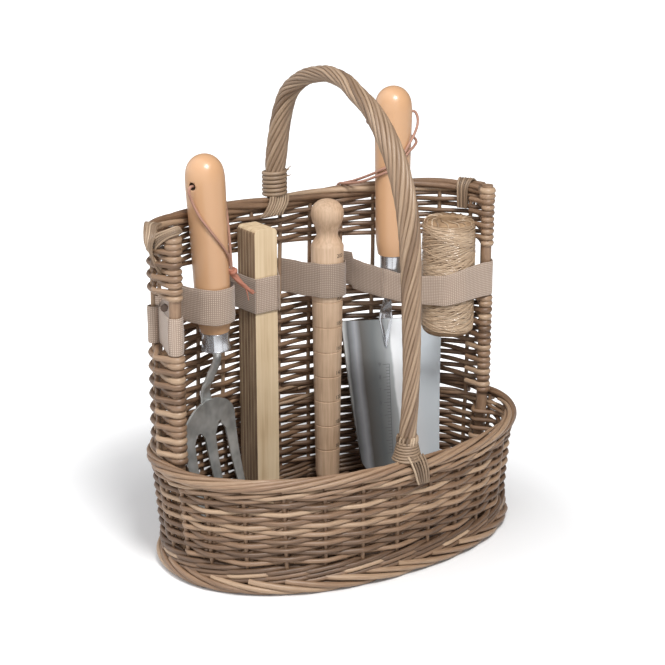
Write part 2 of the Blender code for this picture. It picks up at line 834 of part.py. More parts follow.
def build_corner_lashings():
    """Saddles over the rail near its ends, from the outer face of the weave to the inner one."""
    plan = Plan(BACK_HALF_WIDTH, BACK_TOP_HALF_DEPTH)
    reach = RAIL_RADIUS + LASHING_PLAY
    clear = BULGE + LASHING_PLAY
    spine = [(clear, -LASHING_DROP), (clear, -RAIL_RADIUS)]
    for step in range(LASHING_ARC_STEPS + 1):
        angle = math.pi * step / LASHING_ARC_STEPS
        spine.append((max(-clear, min(clear, reach * math.cos(angle))), reach * math.sin(angle)))
    spine += [(-clear, -RAIL_RADIUS), (-clear, -LASHING_DROP)]
    for name, share in (("left_lashing", LEFT_LASHING_SHARE), ("right_lashing", RIGHT_LASHING_SHARE)):
        centre, outward = plan.at(share)
        saddle = strap(name, spine, LASHING_HALF_WIDTH, BINDING, fan_share=1)
        saddle.location = centre + Vector((0, 0, RAIL_CENTRE + rail_lift(centre.x)))
        saddle.rotation_euler.z = math.atan2(-outward.x, outward.y)


# Handle


def handle_line():
    """The bow's points with a radius share each, from the back rail to the front rim."""
    apex = HANDLE_TOP - HANDLE_THICK_RADIUS * BACK_LEG_SHARES[-1][2]
    points = []
    for depth, share, thick in BACK_LEG_SHARES:
        low = RAIL_TOP + GAP
        points.append((0, BACK_TOP_HALF_DEPTH * depth, low + (apex - low) * share, thick))
    for depth, share, thick in FRONT_LEG_SHARES:
        low = RIM_TOP + GAP
        points.append((0, -FRONT_FOOT_Y * depth, low + (apex - low) * share, thick))
    fine = smooth_points([point[:3] for point in points], steps=HANDLE_STEPS)
    radii = []
    for spot in fine:
        near = sorted(points, key=lambda point: (Vector(point[:3]) - spot).length)[:2]
        first, second = [(Vector(point[:3]) - spot).length for point in near]
        radii.append((near[0][3] * second + near[1][3] * first) / (first + second))
    return fine, radii


def build_handle():
    points, radii = handle_line()
    curve = rope_curve(
        "handle_bow", points, HANDLE_THICK_RADIUS, HANDLE_RODS, HANDLE_TURNS, radii=radii, points_each=2,
        hollow_share=0.13,
    )
    return add_object("handle_bow", curve, WILLOW)


def sleeve(name, y, bottom, height, bore_low, bore_high, thickness, flare, ridges):
    """A ribbed sleeve round a leg of the handle."""
    outer = []
    for ridge in range(2 * ridges + 1):
        share = ridge / (2 * ridges)
        bore = bore_high + (bore_low + flare - bore_high) * share**2
        outer.append((bore + thickness - BINDING_RIDGE * (1 - ridge % 2), bottom + height * (1 - share)))
    inner = [(bore_low, bottom), (bore_high, bottom + height)]
    binding = turned(name, outer + inner, BINDING, BINDING_SIDES, closed=True, centre=(0, y))
    return binding


def build_bindings():
    back_bore = HANDLE_THICK_RADIUS + BINDING_PLAY
    sleeve(
        "back_binding", BACK_TOP_HALF_DEPTH - GAP, RAIL_TOP + GAP, BACK_BINDING_HEIGHT, back_bore, back_bore,
        BINDING_THICKNESS, 0, BACK_BINDING_RIDGES,
    )
    front_bore = HANDLE_THICK_RADIUS * FRONT_LEG_SHARES[-1][2] + BINDING_PLAY
    sleeve(
        "front_binding", -FRONT_FOOT_Y, RIM_TOP + GAP, FRONT_BINDING_HEIGHT, front_bore, front_bore,
        BINDING_THICKNESS, FRONT_BINDING_FLARE, FRONT_BINDING_RIDGES,
    )


def strap(name, spine, half_width, surface, fan_share=STRAP_FAN_SHARE):
    """A fan of fine rods side by side along a line of (y, z) points."""
    columns = 2 * STRAP_RODS

    def place(column, row):
        y, z = spine[row]
        ahead = Vector(spine[min(row + 1, len(spine) - 1)]) - Vector(spine[max(row - 1, 0)])
        out = Vector((ahead.y, -ahead.x)).normalized()
        rib = STRAP_RIB * (column % 2)
        width = half_width * (1 + (fan_share - 1) * row / (len(spine) - 1))
        return Vector((width * (2 * column / columns - 1), y + out.x * rib, z + out.y * rib))

    fan = add_object(name, grid_mesh(name, columns, len(spine) - 1, place, closed=False), surface)
    skin = fan.modifiers.new("Solidify", "SOLIDIFY")
    skin.thickness = STRAP_THICKNESS
    skin.offset = STRAP_SIDE
    return fan


def strap_spine(y, z, radius, wall_y, drop):
    """From just under the binding, round the front of a bundle at (y, z) and down the wall below it."""
    reach = radius + GAP
    start = math.pi - math.asin(radius / (reach + STRAP_THICKNESS + STRAP_RIB))
    spine = []
    for step in range(STRAP_ARC_STEPS + 1):
        angle = start + (math.pi - start) * step / STRAP_ARC_STEPS
        spine.append((y + reach * math.cos(angle), z + reach * math.sin(angle)))
    clear = min(wall_y - BULGE - GAP, spine[-1][0])
    spine.append((clear, z - radius))
    spine.append((clear, z - drop))
    return spine


def build_straps():
    """The back strap hangs inside the rail and the front one outside the rim."""
    spine = strap_spine(
        BACK_TOP_HALF_DEPTH, RAIL_CENTRE, RAIL_RADIUS, BACK_TOP_HALF_DEPTH, BACK_STRAP_DROP
    )
    strap("back_lashing", spine, BACK_STRAP_HALF_WIDTH, BINDING)
    spine = strap_spine(-RIM_HALF_DEPTH, RIM_CENTRE, RIM_RADIUS, -BOWL_RIM_HALF_DEPTH, FRONT_STRAP_DROP)
    strap("front_lashing", spine, FRONT_STRAP_HALF_WIDTH, BINDING)


# Elastic band


def band_discs():
    """What the band bends round, from left to right: centre, radius and side (+1 is left of its way)."""
    skin = GAP + BAND_THICKNESS / 2
    lean = (BOWL_RIM_HALF_DEPTH - BACK_TOP_HALF_DEPTH) / (RAIL_CENTRE - BACK_BOTTOM)
    stake = STAKE_RADIUS + skin + lean * BAND_WIDTH / 2
    discs = [(post_centre(-1), POST_RADIUS + skin, 1)]
    discs.append((FORK_AXIS_AT_BAND, FORK_RADIUS_AT_BAND + FORK_SWAY + skin, 1))
    discs.append((slot_stake(-2), stake, -1))
    front = MARKERS_CENTRE - Vector((0, MARKERS_DEPTH / 2, 0))
    for side in (-1, 1):
        discs.append((front + Vector((side * MARKER_WIDTH / 2, 0, 0)), skin, 1))
    discs.append((slot_stake(0), stake, -1))
    discs.append((DIBBER_CENTRE, DIBBER_RADIUS + skin, 1))
    discs.append((slot_stake(2), stake, -1))
    discs.append((TROWEL_CENTRE, TROWEL_FERRULE_RADIUS + FERRULE_LIP + skin, 1))
    discs.append((TWINE_CENTRE, TWINE_RADIUS + skin, 1))
    discs.append((post_centre(1), POST_RADIUS + skin, -1))
    return discs


def slot_stake(number):
    """A stake's place half way up the band."""
    point, _ = BACK.at(stake_share(number), BAND_MIDDLE)
    point.z = 0
    return point


def band_points():
    """The band's middle line: straight between the discs and bent round each."""
    discs = band_discs()
    arrive = [math.radians(LEFT_BAND_START_DEG)]
    leave = []
    for (first, first_radius, first_side), (second, second_radius, second_side) in zip(discs, discs[1:]):
        way = second - first
        offset = second_side * second_radius - first_side * first_radius
        heading = math.atan2(way.y, way.x) - math.asin(offset / way.length)
        leave.append(heading - first_side * math.pi / 2)
        arrive.append(heading - second_side * math.pi / 2)
    leave.append(math.radians(RIGHT_BAND_END_DEG))
    points = []
    for (centre, radius, side), start, end in zip(discs, arrive, leave):
        sweep = (end - start) * side % (2 * math.pi)
        steps = max(1, round(BAND_ARC_STEPS * sweep / math.pi))
        for step in range(steps + 1):
            angle = start + side * sweep * step / steps
            points.append(centre + Vector((math.cos(angle), math.sin(angle), 0)) * radius)
    return points


def build_band():
    curve = poly_curve("elastic_band", band_points())
    curve.dimensions = "2D"
    curve.fill_mode = "NONE"
    curve.extrude = BAND_WIDTH / 2
    band = add_object("elastic_band", curve, ELASTIC)
    band.location.z = BAND_MIDDLE
    skin = band.modifiers.new("Solidify", "SOLIDIFY")
    skin.thickness = BAND_THICKNESS
    skin.offset = 0
    return band


# Tools


def empty(name, matrix):
    """A carrier on a tool's axis, for the pieces that lift with it."""
    carrier = bpy.data.objects.new(name, None)
    PARTS.objects.link(carrier)
    carrier.matrix_world = matrix
    return carrier


def drilled_handle(name, carrier, low, length, radius, ferrule_radius):
    """A turned wooden handle on its ferrule, with a hanging hole across its top."""
    profile = [(radius * thick, low + length * (1 - share)) for share, thick in WOOD_SHARES]
    profile.append((0, low))
    handle = turned(name, profile, BEECH, WOOD_SIDES, carrier=carrier)
    mesh = bpy.data.meshes.new(name + "_drill")
    drill = bmesh.new()
    bmesh.ops.create_cone(
        drill,
        cap_ends=True,
        segments=STAKE_SIDES,
        radius1=HANG_HOLE_RADIUS,
        radius2=HANG_HOLE_RADIUS,
        depth=2 * (radius + OVERRUN),
        matrix=Matrix.Translation((0, 0, low + length * HANG_HOLE_SHARE)) @ Matrix.Rotation(math.pi / 2, 4, "Y"),
    )
    drill.to_mesh(mesh)
    drill.free()
    cutter = make_cutter(add_object(name + "_drill", mesh, BEECH, GUIDES, carrier))
    add_boolean(handle, cutter, "DIFFERENCE")
    return handle


def ferrule(name, carrier, radius, length):
    """A metal collar between handle and neck, with a rolled lip at each end."""
    lip = radius + FERRULE_LIP
    profile = [
        (0, length),
        (radius, length),
        (lip, length - FERRULE_LIP),
        (radius, length - 3 * FERRULE_LIP),
        (radius, 3 * FERRULE_LIP),
        (lip, FERRULE_LIP),
        (radius, 0),
        (0, 0),
    ]
    return turned(name, profile, STEEL, WOOD_SIDES, carrier=carrier)


def neck_points(offset, length):
    """An S from the ferrule down to the blade, which stands behind the handle's axis."""
    return smooth_points(
        [
            (0, 0, -GAP),
            (0, 0, -length * NECK_START_SHARE),
            (0, offset / 2, -length / 2),
            (0, offset, -length * (1 - NECK_START_SHARE)),
            (0, offset, -length),
        ],
        steps=NECK_STEPS,
    )


def head_with_neck(name, carrier, plate, offset, length):
    """Joins the neck's rod to a plate."""
    points = neck_points(offset, length)
    points.append(points[-1] - Vector((0, 0, NECK_BURY)))
    curve = tube_curve(name + "_neck", points, NECK_RADIUS)
    neck = make_cutter(mesh_from_curve(name + "_neck", curve, STEEL, GUIDES, carrier))
    skin = plate.modifiers.new("Solidify", "SOLIDIFY")
    skin.thickness = PLATE_THICKNESS
    skin.offset = 0
    add_boolean(plate, neck, "UNION")
    return plate


def build_fork():
    carrier = empty("fork_seat", FORK_PLACE)
    ferrule("fork_ferrule", carrier, FERRULE_RADIUS, FERRULE_LENGTH)
    drilled_handle(
        "fork_handle", carrier, FERRULE_LENGTH + GAP, FORK_WOOD_LENGTH, FORK_WOOD_RADIUS, FERRULE_RADIUS
    )
    half = FORK_HEAD_HALF_WIDTH

    def edges(share):
        """The half widths of the plate's edges at a share of its length: middle tine, slot and outside."""
        taper = min(1, max(0, (share - FORK_SLOT_SHARE) / (1 - FORK_SLOT_SHARE)))
        tine = FORK_TINE_HALF_WIDTH + (FORK_TIP_HALF_WIDTH - FORK_TINE_HALF_WIDTH) * taper
        shoulder = min(1, share / FORK_SLOT_SHARE)
        outside = NECK_RADIUS + (half - NECK_RADIUS) * math.sqrt(1 - (1 - shoulder) ** 2)
        opening = min(1, max(0, share - FORK_SLOT_SHARE) * 8)
        slot_middle = (outside + tine) / 2 - tine
        middle_edge = min(outside / 3, slot_middle + (tine - slot_middle) * math.sqrt(opening))
        side_centre = half - FORK_TINE_HALF_WIDTH
        inner_edge = max(middle_edge, slot_middle + (side_centre - tine - slot_middle) * math.sqrt(opening))
        outer_edge = outside if taper == 0 else side_centre + tine
        return middle_edge, min(inner_edge, outer_edge), outer_edge

    def place(column, row):
        share = row / FORK_ROWS
        middle, inner, outer = edges(share)
        x = (-outer, -inner, -middle, 0, middle, inner, outer)[column]
        forward = FORK_SWEEP * share**2
        crease = FORK_CREASE * (abs(x) / half) * max(0, 1 - share / FORK_SLOT_SHARE)
        z = -FORK_NECK_LENGTH - FORK_HEAD_LENGTH * share
        return Vector((x, FORK_OFFSET - forward - crease, z))

    mesh = grid_mesh("fork_head", 6, FORK_ROWS, place, closed=False)
    drop_slots(mesh)
    plate = add_object("fork_head", mesh, STEEL, carrier=carrier)
    return head_with_neck("fork_head", carrier, plate, FORK_OFFSET, FORK_NECK_LENGTH)


def drop_slots(mesh):
    """Opens the two slots between the fork's tines."""
    plate = bmesh.new()
    plate.from_mesh(mesh)
    limit = -FORK_NECK_LENGTH - FORK_HEAD_LENGTH * FORK_SLOT_SHARE
    open_faces = []
    for face in plate.faces:
        middle = face.calc_center_median()
        span = [abs(corner.co.x) for corner in face.verts]
        if middle.z < limit and min(span) > 0 and max(span) < FORK_HEAD_HALF_WIDTH - FORK_TINE_HALF_WIDTH:
            open_faces.append(face)
    bmesh.ops.delete(plate, geom=open_faces, context="FACES")
    plate.to_mesh(mesh)
    plate.free()


def build_trowel():
    carrier = empty("trowel_seat", TROWEL_PLACE)
    ferrule("trowel_ferrule", carrier, TROWEL_FERRULE_RADIUS, FERRULE_LENGTH)
    drilled_handle(
        "trowel_handle", carrier, FERRULE_LENGTH + GAP, TROWEL_WOOD_LENGTH, TROWEL_WOOD_RADIUS,
        TROWEL_FERRULE_RADIUS,
    )
    neck = TROWEL_FOOT - TROWEL_BLADE_TOP
    length = TROWEL_BLADE_TOP - STAND - PLATE_THICKNESS

    def half_width(share):
        """The blade's half width: square shoulders, a gentle taper and a round tip."""
        low = TROWEL_HALF_WIDTH * TROWEL_LOW_SHARE
        body = TROWEL_HALF_WIDTH + (low - TROWEL_HALF_WIDTH) * min(1, share / TROWEL_TIP_SHARE)
        past = max(0, (share - TROWEL_TIP_SHARE) / (1 - TROWEL_TIP_SHARE))
        return body * math.sqrt(max(0, 1 - past**2))

    def place(column, row):
        share = math.sin(math.pi / 2 * row / TROWEL_ROWS)
        across = 2 * column / TROWEL_COLUMNS - 1
        width = max(half_width(share), NECK_RADIUS)
        y = TROWEL_OFFSET - TROWEL_TROUGH * (width * across / TROWEL_HALF_WIDTH) ** 2 - TROWEL_SWEEP * share**1.5
        return Vector((width * across, y, -neck - length * share))

    mesh = grid_mesh("trowel_head", TROWEL_COLUMNS, TROWEL_ROWS, place, closed=False)
    plate = add_object("trowel_head", mesh, STEEL, carrier=carrier)
    return head_with_neck("trowel_head", carrier, plate, TROWEL_OFFSET, neck)


def build_dibber():
    """A turned dibber with a groove at each step of its depth scale."""
    profile = []
    for share, thick in DIBBER_HEAD_SHARES:
        profile.append((DIBBER_RADIUS * thick, DIBBER_TOP - (DIBBER_TOP - DIBBER_SHOULDER) * share))
    tip = STAND + DIBBER_TIP_HEIGHT

    def body(height):
        return DIBBER_TIP_RADIUS + (DIBBER_RADIUS - DIBBER_TIP_RADIUS) * (height - tip) / (DIBBER_SHOULDER - tip)

    profile.append((DIBBER_RADIUS, DIBBER_SHOULDER))
    for number in range(GROOVE_COUNT):
        height = GROOVE_TOP - number * GROOVE_PITCH
        profile.append((body(height), height + GROOVE_HALF_WIDTH))
        profile.append((body(height) - GROOVE_DEPTH, height))
        profile.append((body(height), height - GROOVE_HALF_WIDTH))
    for step in range(TIP_STEPS + 1):
        angle = math.pi / 2 * step / TIP_STEPS
        profile.append((DIBBER_TIP_RADIUS * math.cos(angle), tip - DIBBER_TIP_HEIGHT * math.sin(angle)))
    return turned("dibber", profile, BEECH, DIBBER_SIDES, centre=DIBBER_CENTRE.xy)


def marker_outline():
    """Half of a marker from its tip to the middle of its rounded top, then mirrored."""
    half = MARKER_WIDTH / 2
    right = [(MARKER_POINT_WIDTH / 2, STAND), (half, STAND + MARKER_POINT_LENGTH)]
    for step in range(MARKER_CORNER_STEPS + 1):
        angle = math.pi / 2 * step / MARKER_CORNER_STEPS
        x = half - MARKER_CORNER * (1 - math.cos(angle))
        right.append((x, MARKER_TOP - MARKER_CORNER * (1 - math.sin(angle))))
    return right + [(-x, z) for x, z in reversed(right)]


def build_markers():
    pitch = MARKER_THICKNESS + GAP
    for number in range(MARKER_COUNT):
        name = f"row_marker_{number + 1}"
        curve = poly_curve(name, [(x, z, 0) for x, z in marker_outline()], cyclic=True)
        curve.dimensions = "2D"
        curve.fill_mode = "BOTH"
        curve.extrude = MARKER_THICKNESS / 2
        marker = add_object(name, curve, PINE)
        marker.rotation_euler.x = math.pi / 2
        shift = (number - (MARKER_COUNT - 1) / 2) * pitch
        marker.location = MARKERS_CENTRE + Vector((0, shift, 0))


def build_twine():
    """A plain core with its outer layer of twine wound round it as one tube."""
    top = TWINE_BOTTOM + TWINE_HEIGHT
    reach = TWINE_RADIUS - TWINE_STRAND_RADIUS
    core = reach * math.cos(math.pi / TWINE_LOOP_STEPS) - TWINE_STRAND_RADIUS - GAP
    profile = [
        (0, top - TWINE_DISH_DEPTH),
        (TWINE_DISH_RADIUS, top - TWINE_DISH_DEPTH),
        (TWINE_DISH_RADIUS, top),
        (core, top),
        (core, TWINE_BOTTOM),
        (0, TWINE_BOTTOM),
    ]
    turned("twine_core", profile, JUTE, TWINE_SIDES, centre=TWINE_CENTRE.xy)
    points = []
    low = TWINE_BOTTOM + TWINE_STRAND_RADIUS + TWINE_SLANT
    rise = TWINE_HEIGHT - 2 * (TWINE_STRAND_RADIUS + TWINE_SLANT)
    count = TWINE_LOOPS * TWINE_LOOP_STEPS
    for step in range(count + 1):
        angle = 2 * math.pi * step / TWINE_LOOP_STEPS
        point = TWINE_CENTRE + Vector((math.cos(angle), math.sin(angle), 0)) * reach
        point.z = low + rise * step / count + TWINE_SLANT * math.sin(angle)
        points.append(point)
    add_object("twine_winding", tube_curve("twine_winding", points, TWINE_STRAND_RADIUS, 1), JUTE)
    least = min(
        (first - second).length
        for index, first in enumerate(points)
        for second in points[index + TWINE_LOOP_STEPS // 2 :]
    )
    print("twine_winding least gap to itself, mm:", round((least - 2 * TWINE_STRAND_RADIUS) * 1000, 2))


def wood_radius(share, radius):
    """A handle's radius at a height share of its wood, from the ferrule up."""
    down = min(1, max(0, 1 - share))
    for (high, thick), (low, wide) in zip(WOOD_SHARES, WOOD_SHARES[1:]):
        if down <= low:
            return radius * (thick + (wide - thick) * (down - high) / (low - high))


def off_wood(step, place, length, radius):
    """The point of a lace's route, from its degrees round a handle, height share and lift off the wood."""
    degrees, share, lift = step
    turn = math.radians(degrees)
    reach = wood_radius(share, radius) + GAP + LACE_RADIUS + lift
    height = FERRULE_LENGTH + GAP + length * share
    return place @ Vector((math.sin(turn) * reach, -math.cos(turn) * reach, height))


def build_laces():
    """The two laces through the hanging holes, the fork's ending in a knot with a tail, the trowel's in a knot."""
    fork = (FORK_PLACE, FORK_WOOD_LENGTH, FORK_WOOD_RADIUS)
    trowel = (TROWEL_PLACE, TROWEL_WOOD_LENGTH, TROWEL_WOOD_RADIUS)
    for name, steps, wood in (("fork_lace", FORK_LACE_ROUTE, fork), ("trowel_lace", TROWEL_LACE_ROUTE, trowel)):
        route = smooth_points([off_wood(step, *wood) for step in steps], LACE_SPACING)
        add_object(name, tube_curve(name, route, LACE_RADIUS), LEATHER)
    tail = smooth_points([off_wood(step, *fork) for step in FORK_TAIL_ROUTE], LACE_SPACING)
    swell = [1, KNOT_RADIUS / LACE_RADIUS] + [1] * (len(tail) - 2)
    add_object("fork_lace_knot", tube_curve("fork_lace_knot", tail, LACE_RADIUS, radii=swell), LEATHER)
    mesh = bpy.data.meshes.new("trowel_lace_knot")
    ball = bmesh.new()
    bmesh.ops.create_uvsphere(ball, u_segments=WOOD_SIDES // 2, v_segments=STAKE_SIDES, radius=KNOT_RADIUS)
    ball.to_mesh(mesh)
    ball.free()
    add_object("trowel_lace_knot", mesh, LEATHER).location = off_wood(TROWEL_KNOT, *trowel)


clear_scene()
PARTS = collection("garden_tool_basket")
GUIDES = collection("guides")
WILLOW = material("willow", (0.30, 0.20, 0.13), 0.7)
BINDING = material("binding_willow", (0.36, 0.28, 0.20), 0.7)
ELASTIC = material("elastic", (0.42, 0.33, 0.28), 0.85)
BEECH = material("beech", (0.72, 0.45, 0.24), 0.4)
PINE = material("pine", (0.75, 0.60, 0.40), 0.6)
STEEL = material("polished_steel", (0.62, 0.63, 0.65), 0.15, 1)
JUTE = material("jute", (0.50, 0.34, 0.19), 0.9)
LEATHER = material("leather", (0.45, 0.22, 0.14), 0.7)

# Places of the tools, each against what holds it

FRONT_FOOT_Y = RIM_HALF_DEPTH - HANDLE_FRONT_INSET
MARKERS_DEPTH = MARKER_COUNT * MARKER_THICKNESS + (MARKER_COUNT - 1) * GAP
MARKERS_CENTRE = against_back(MARKER_SHARE, BULGE + MARKER_STANDOFF + MARKERS_DEPTH / 2)
DIBBER_CENTRE = against_back(DIBBER_SHARE, BULGE + GAP + DIBBER_RADIUS)
TROWEL_CENTRE = against_back(TROWEL_SHARE, BULGE + TROWEL_STANDOFF + TROWEL_WOOD_RADIUS)
TROWEL_PLACE = (
    Matrix.Translation(TROWEL_CENTRE + Vector((0, 0, TROWEL_FOOT)))
    @ Matrix.Rotation(math.radians(TROWEL_YAW_DEG), 4, "Z")
)
TWINE_WAY = math.radians(TWINE_BEARING_DEG)
TWINE_REACH = WRAP_RADIUS + ROD_RADIUS + GAP + TWINE_RADIUS
TWINE_CENTRE = post_centre(1) + Vector((math.cos(TWINE_WAY), math.sin(TWINE_WAY), 0)) * TWINE_REACH
FORK_LEAN = Matrix.Rotation(math.radians(-FORK_LEAN_DEG), 4, "Y") @ Matrix.Rotation(
    math.radians(FORK_PITCH_DEG), 4, "X"
)
FORK_AXIS = FORK_LEAN @ Vector((0, 0, 1))
FORK_SWAY = BAND_WIDTH / 2 * math.tan(math.radians(FORK_LEAN_DEG))
FORK_RADIUS_AT_BAND = FORK_WOOD_RADIUS * BAND_GRIP_SHARE


def fork_axis_at(height):
    """The point of the fork's leaning axis at a height; it touches the back at the rail."""
    rest = against_back(FORK_SHARE, BULGE + GAP + FORK_WOOD_RADIUS)
    return rest + Vector((0, 0, RAIL_CENTRE)) + FORK_AXIS * ((height - RAIL_CENTRE) / FORK_AXIS.z)


FORK_PLACE = (
    Matrix.Translation(fork_axis_at(FORK_FOOT)) @ FORK_LEAN @ Matrix.Rotation(math.radians(FORK_YAW_DEG), 4, "Z")
)
FORK_AXIS_AT_BAND = Vector((fork_axis_at(BAND_MIDDLE).x, fork_axis_at(BAND_MIDDLE).y, 0))

build_foot()
build_floor()
build_bowl()
build_rim()
build_posts()
build_back()
build_rail()
build_corner_lashings()
build_handle()
build_bindings()
build_straps()
build_band()
build_fork()
build_trowel()
build_dibber()
build_markers()
build_twine()
build_laces()
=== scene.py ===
# %% [markdown]
# # A willow basket for garden tools
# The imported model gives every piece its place. This file dresses it: each solid that stands for wicker,
# cord or cloth is replaced by real rods and strands, and each finish is built from nodes.

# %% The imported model
import math

import bmesh
import bpy
import numpy as np
from mathutils import Matrix, Vector


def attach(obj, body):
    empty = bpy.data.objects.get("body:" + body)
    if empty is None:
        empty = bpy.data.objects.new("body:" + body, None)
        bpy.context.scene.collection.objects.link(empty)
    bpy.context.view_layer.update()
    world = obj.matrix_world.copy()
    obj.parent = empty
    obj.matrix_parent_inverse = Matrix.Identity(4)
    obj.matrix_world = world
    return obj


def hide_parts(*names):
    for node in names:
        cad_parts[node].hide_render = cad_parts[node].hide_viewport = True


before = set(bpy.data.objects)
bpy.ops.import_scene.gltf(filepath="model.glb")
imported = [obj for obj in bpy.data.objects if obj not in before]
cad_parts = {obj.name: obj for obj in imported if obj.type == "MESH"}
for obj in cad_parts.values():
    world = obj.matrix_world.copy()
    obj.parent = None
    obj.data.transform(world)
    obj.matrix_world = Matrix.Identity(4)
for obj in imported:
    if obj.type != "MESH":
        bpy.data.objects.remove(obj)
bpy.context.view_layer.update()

# %% [markdown]
# ## Camera
# The photograph was taken from the front left, a little from above, with a long lens. Three numbers place
# the camera on a line through the basket's middle, and the lens gives the picture its scale.

# %% Camera
CAMERA_AIM = Vector((-0.0041, 0.0, 0.1554))
CAMERA_DISTANCE = 1.2059
CAMERA_AZIMUTH_DEG = -33.90
CAMERA_ELEVATION_DEG = 17.52
FOCAL_PIXELS = 1675.2
PICTURE_PIXELS = 665
SENSOR_MM = 36

turn = math.radians(CAMERA_AZIMUTH_DEG)
tilt = math.radians(CAMERA_ELEVATION_DEG)
away = Vector((math.sin(turn) * math.cos(tilt), -math.cos(turn) * math.cos(tilt), math.sin(tilt)))
lens = bpy.data.cameras.new("camera")
lens.sensor_width = SENSOR_MM
lens.lens = SENSOR_MM * FOCAL_PIXELS / PICTURE_PIXELS
camera = bpy.data.objects.new("camera", lens)
camera.location = CAMERA_AIM + away * CAMERA_DISTANCE
camera.rotation_euler = away.to_track_quat("Z", "Y").to_euler()
bpy.context.collection.objects.link(camera)
bpy.context.scene.camera = camera
print("lens, mm:", round(lens.lens, 1))

# %% [markdown]
# ## Small helpers
# A shader or geometry tree is a list of nodes and wires. Short helpers keep each one readable: `node` adds
# a node and sets its options and inputs, `math_node` does one sum, `group` makes a tree with named sockets,
# and `socket_name` finds the identifier that a modifier needs.

# %% Helpers for node trees


def node(tree, kind, options=None, **inputs):
    """Adds a node. An input is a value or the output of another node; its name has _ for a space."""
    made = tree.nodes.new(kind)
    for name, value in (options or {}).items():
        setattr(made, name, value)
    for name, value in inputs.items():
        socket = made.inputs[int(name[1:])] if name[1:].isdigit() else made.inputs[name.replace("_", " ")]
        if isinstance(value, bpy.types.NodeSocket):
            tree.links.new(value, socket)
        else:
            socket.default_value = value
    return made


def math_node(tree, operation, first, second=0.0, third=0.0):
    """The result of one sum."""
    kind = "ShaderNodeMath"
    return node(tree, kind, {"operation": operation}, i0=first, i1=second, i2=third).outputs[0]


def group(name, kind, inputs, outputs):
    """A node group with its sockets: each is a name, a socket type and, for an input, a value."""
    tree = bpy.data.node_groups.new(name, kind)
    for label, socket_kind, value in inputs:
        socket = tree.interface.new_socket(label, in_out="INPUT", socket_type=socket_kind)
        if value is not None:
            socket.default_value = value
    for label, socket_kind in outputs:
        tree.interface.new_socket(label, in_out="OUTPUT", socket_type=socket_kind)
    return tree, tree.nodes.new("NodeGroupInput").outputs, tree.nodes.new("NodeGroupOutput").inputs


def socket_name(tree, label):
    """A group input's identifier, which a modifier uses in place of its label."""
    for item in tree.interface.items_tree:
        if item.item_type == "SOCKET" and item.in_out == "INPUT" and item.name == label:
            return item.identifier
    raise KeyError(label)


print("helpers for node trees are ready")

# %% [markdown]
# ## Grain
# Wood, willow bark, jute and leather all have marks that are long in one direction. One group gives them:
# noise is read on a coordinate that is stretched along the grain. It puts out a mask of fine streaks, a
# mask of soft blotches and a height for the bump.

# %% The grain group
FINE_HEIGHT_SHARE = 0.8
BROAD_HEIGHT_SHARE = 0.2
GRAIN, grain_in, grain_out = group(
    "grain",
    "ShaderNodeTree",
    (
        ("Place", "NodeSocketVector", None),
        ("Across", "NodeSocketFloat", 3.0),
        ("Along", "NodeSocketFloat", 40.0),
        ("Blotches", "NodeSocketFloat", 30.0),
    ),
    (("Streaks", "NodeSocketFloat"), ("Patches", "NodeSocketFloat"), ("Height", "NodeSocketFloat")),
)
stretch = node(GRAIN, "ShaderNodeCombineXYZ", X=grain_in["Across"], Y=grain_in["Across"], Z=grain_in["Along"])
fine_place = node(
    GRAIN, "ShaderNodeVectorMath", {"operation": "MULTIPLY"}, i0=grain_in["Place"], i1=stretch.outputs[0]
).outputs[0]
fine = node(GRAIN, "ShaderNodeTexNoise", Vector=fine_place, Scale=1.0, Detail=4.0, Roughness=0.62).outputs[0]
broad_place = node(
    GRAIN, "ShaderNodeVectorMath", {"operation": "SCALE"}, i0=grain_in["Place"], Scale=grain_in["Blotches"]
).outputs[0]
broad = node(GRAIN, "ShaderNodeTexNoise", Vector=broad_place, Scale=1.0, Detail=2.0).outputs[0]
streaks = node(GRAIN, "ShaderNodeMapRange", Value=fine, From_Min=0.32, From_Max=0.68).outputs[0]
patches = node(GRAIN, "ShaderNodeMapRange", Value=broad, From_Min=0.3, From_Max=0.7).outputs[0]
GRAIN.links.new(streaks, grain_out["Streaks"])
GRAIN.links.new(patches, grain_out["Patches"])
broad_height = math_node(GRAIN, "MULTIPLY", broad, BROAD_HEIGHT_SHARE)
grain_height = math_node(GRAIN, "MULTIPLY_ADD", fine, FINE_HEIGHT_SHARE, broad_height)
GRAIN.links.new(grain_height, grain_out["Height"])
print("grain group:", len(GRAIN.nodes), "nodes")

# %% [markdown]
# ## Finishes
# Every finish is a Principled shader. Its colour is a ramp from dark to light that the grain drives, with
# the piece's own shade (a number that each rod or board carries) moving it up or down the ramp.

# %% Material makers
ROD_SHIFT = 7.0  # moves each rod along the pattern by its own shade, so that no two look alike
SHADE_SHARE = 0.7  # of a rod's own shade in its place on its colour ramp
MARK_SHARE = 0.22  # of the streaks, and of the patches, in a rod's place on its colour ramp


def finish(name, roughness, **shader_values):
    """A material with its Principled shader, and its tree."""
    surface = bpy.data.materials.new(name)
    surface.use_nodes = True
    tree = surface.node_tree
    shader = tree.nodes["Principled BSDF"]
    shader.inputs["Roughness"].default_value = roughness
    for label, value in shader_values.items():
        shader.inputs[label.replace("_", " ")].default_value = value
    return surface, tree, shader


def ramp(tree, position, *stops):
    """A colour ramp with stops of (place, linear colour)."""
    colours = tree.nodes.new("ShaderNodeValToRGB")
    elements = colours.color_ramp.elements
    while len(elements) < len(stops):
        elements.new(0.5)
    for element, (place, colour) in zip(elements, stops):
        element.position = place
        element.color = (*colour, 1)
    tree.links.new(position, colours.inputs[0])
    return colours.outputs[0]


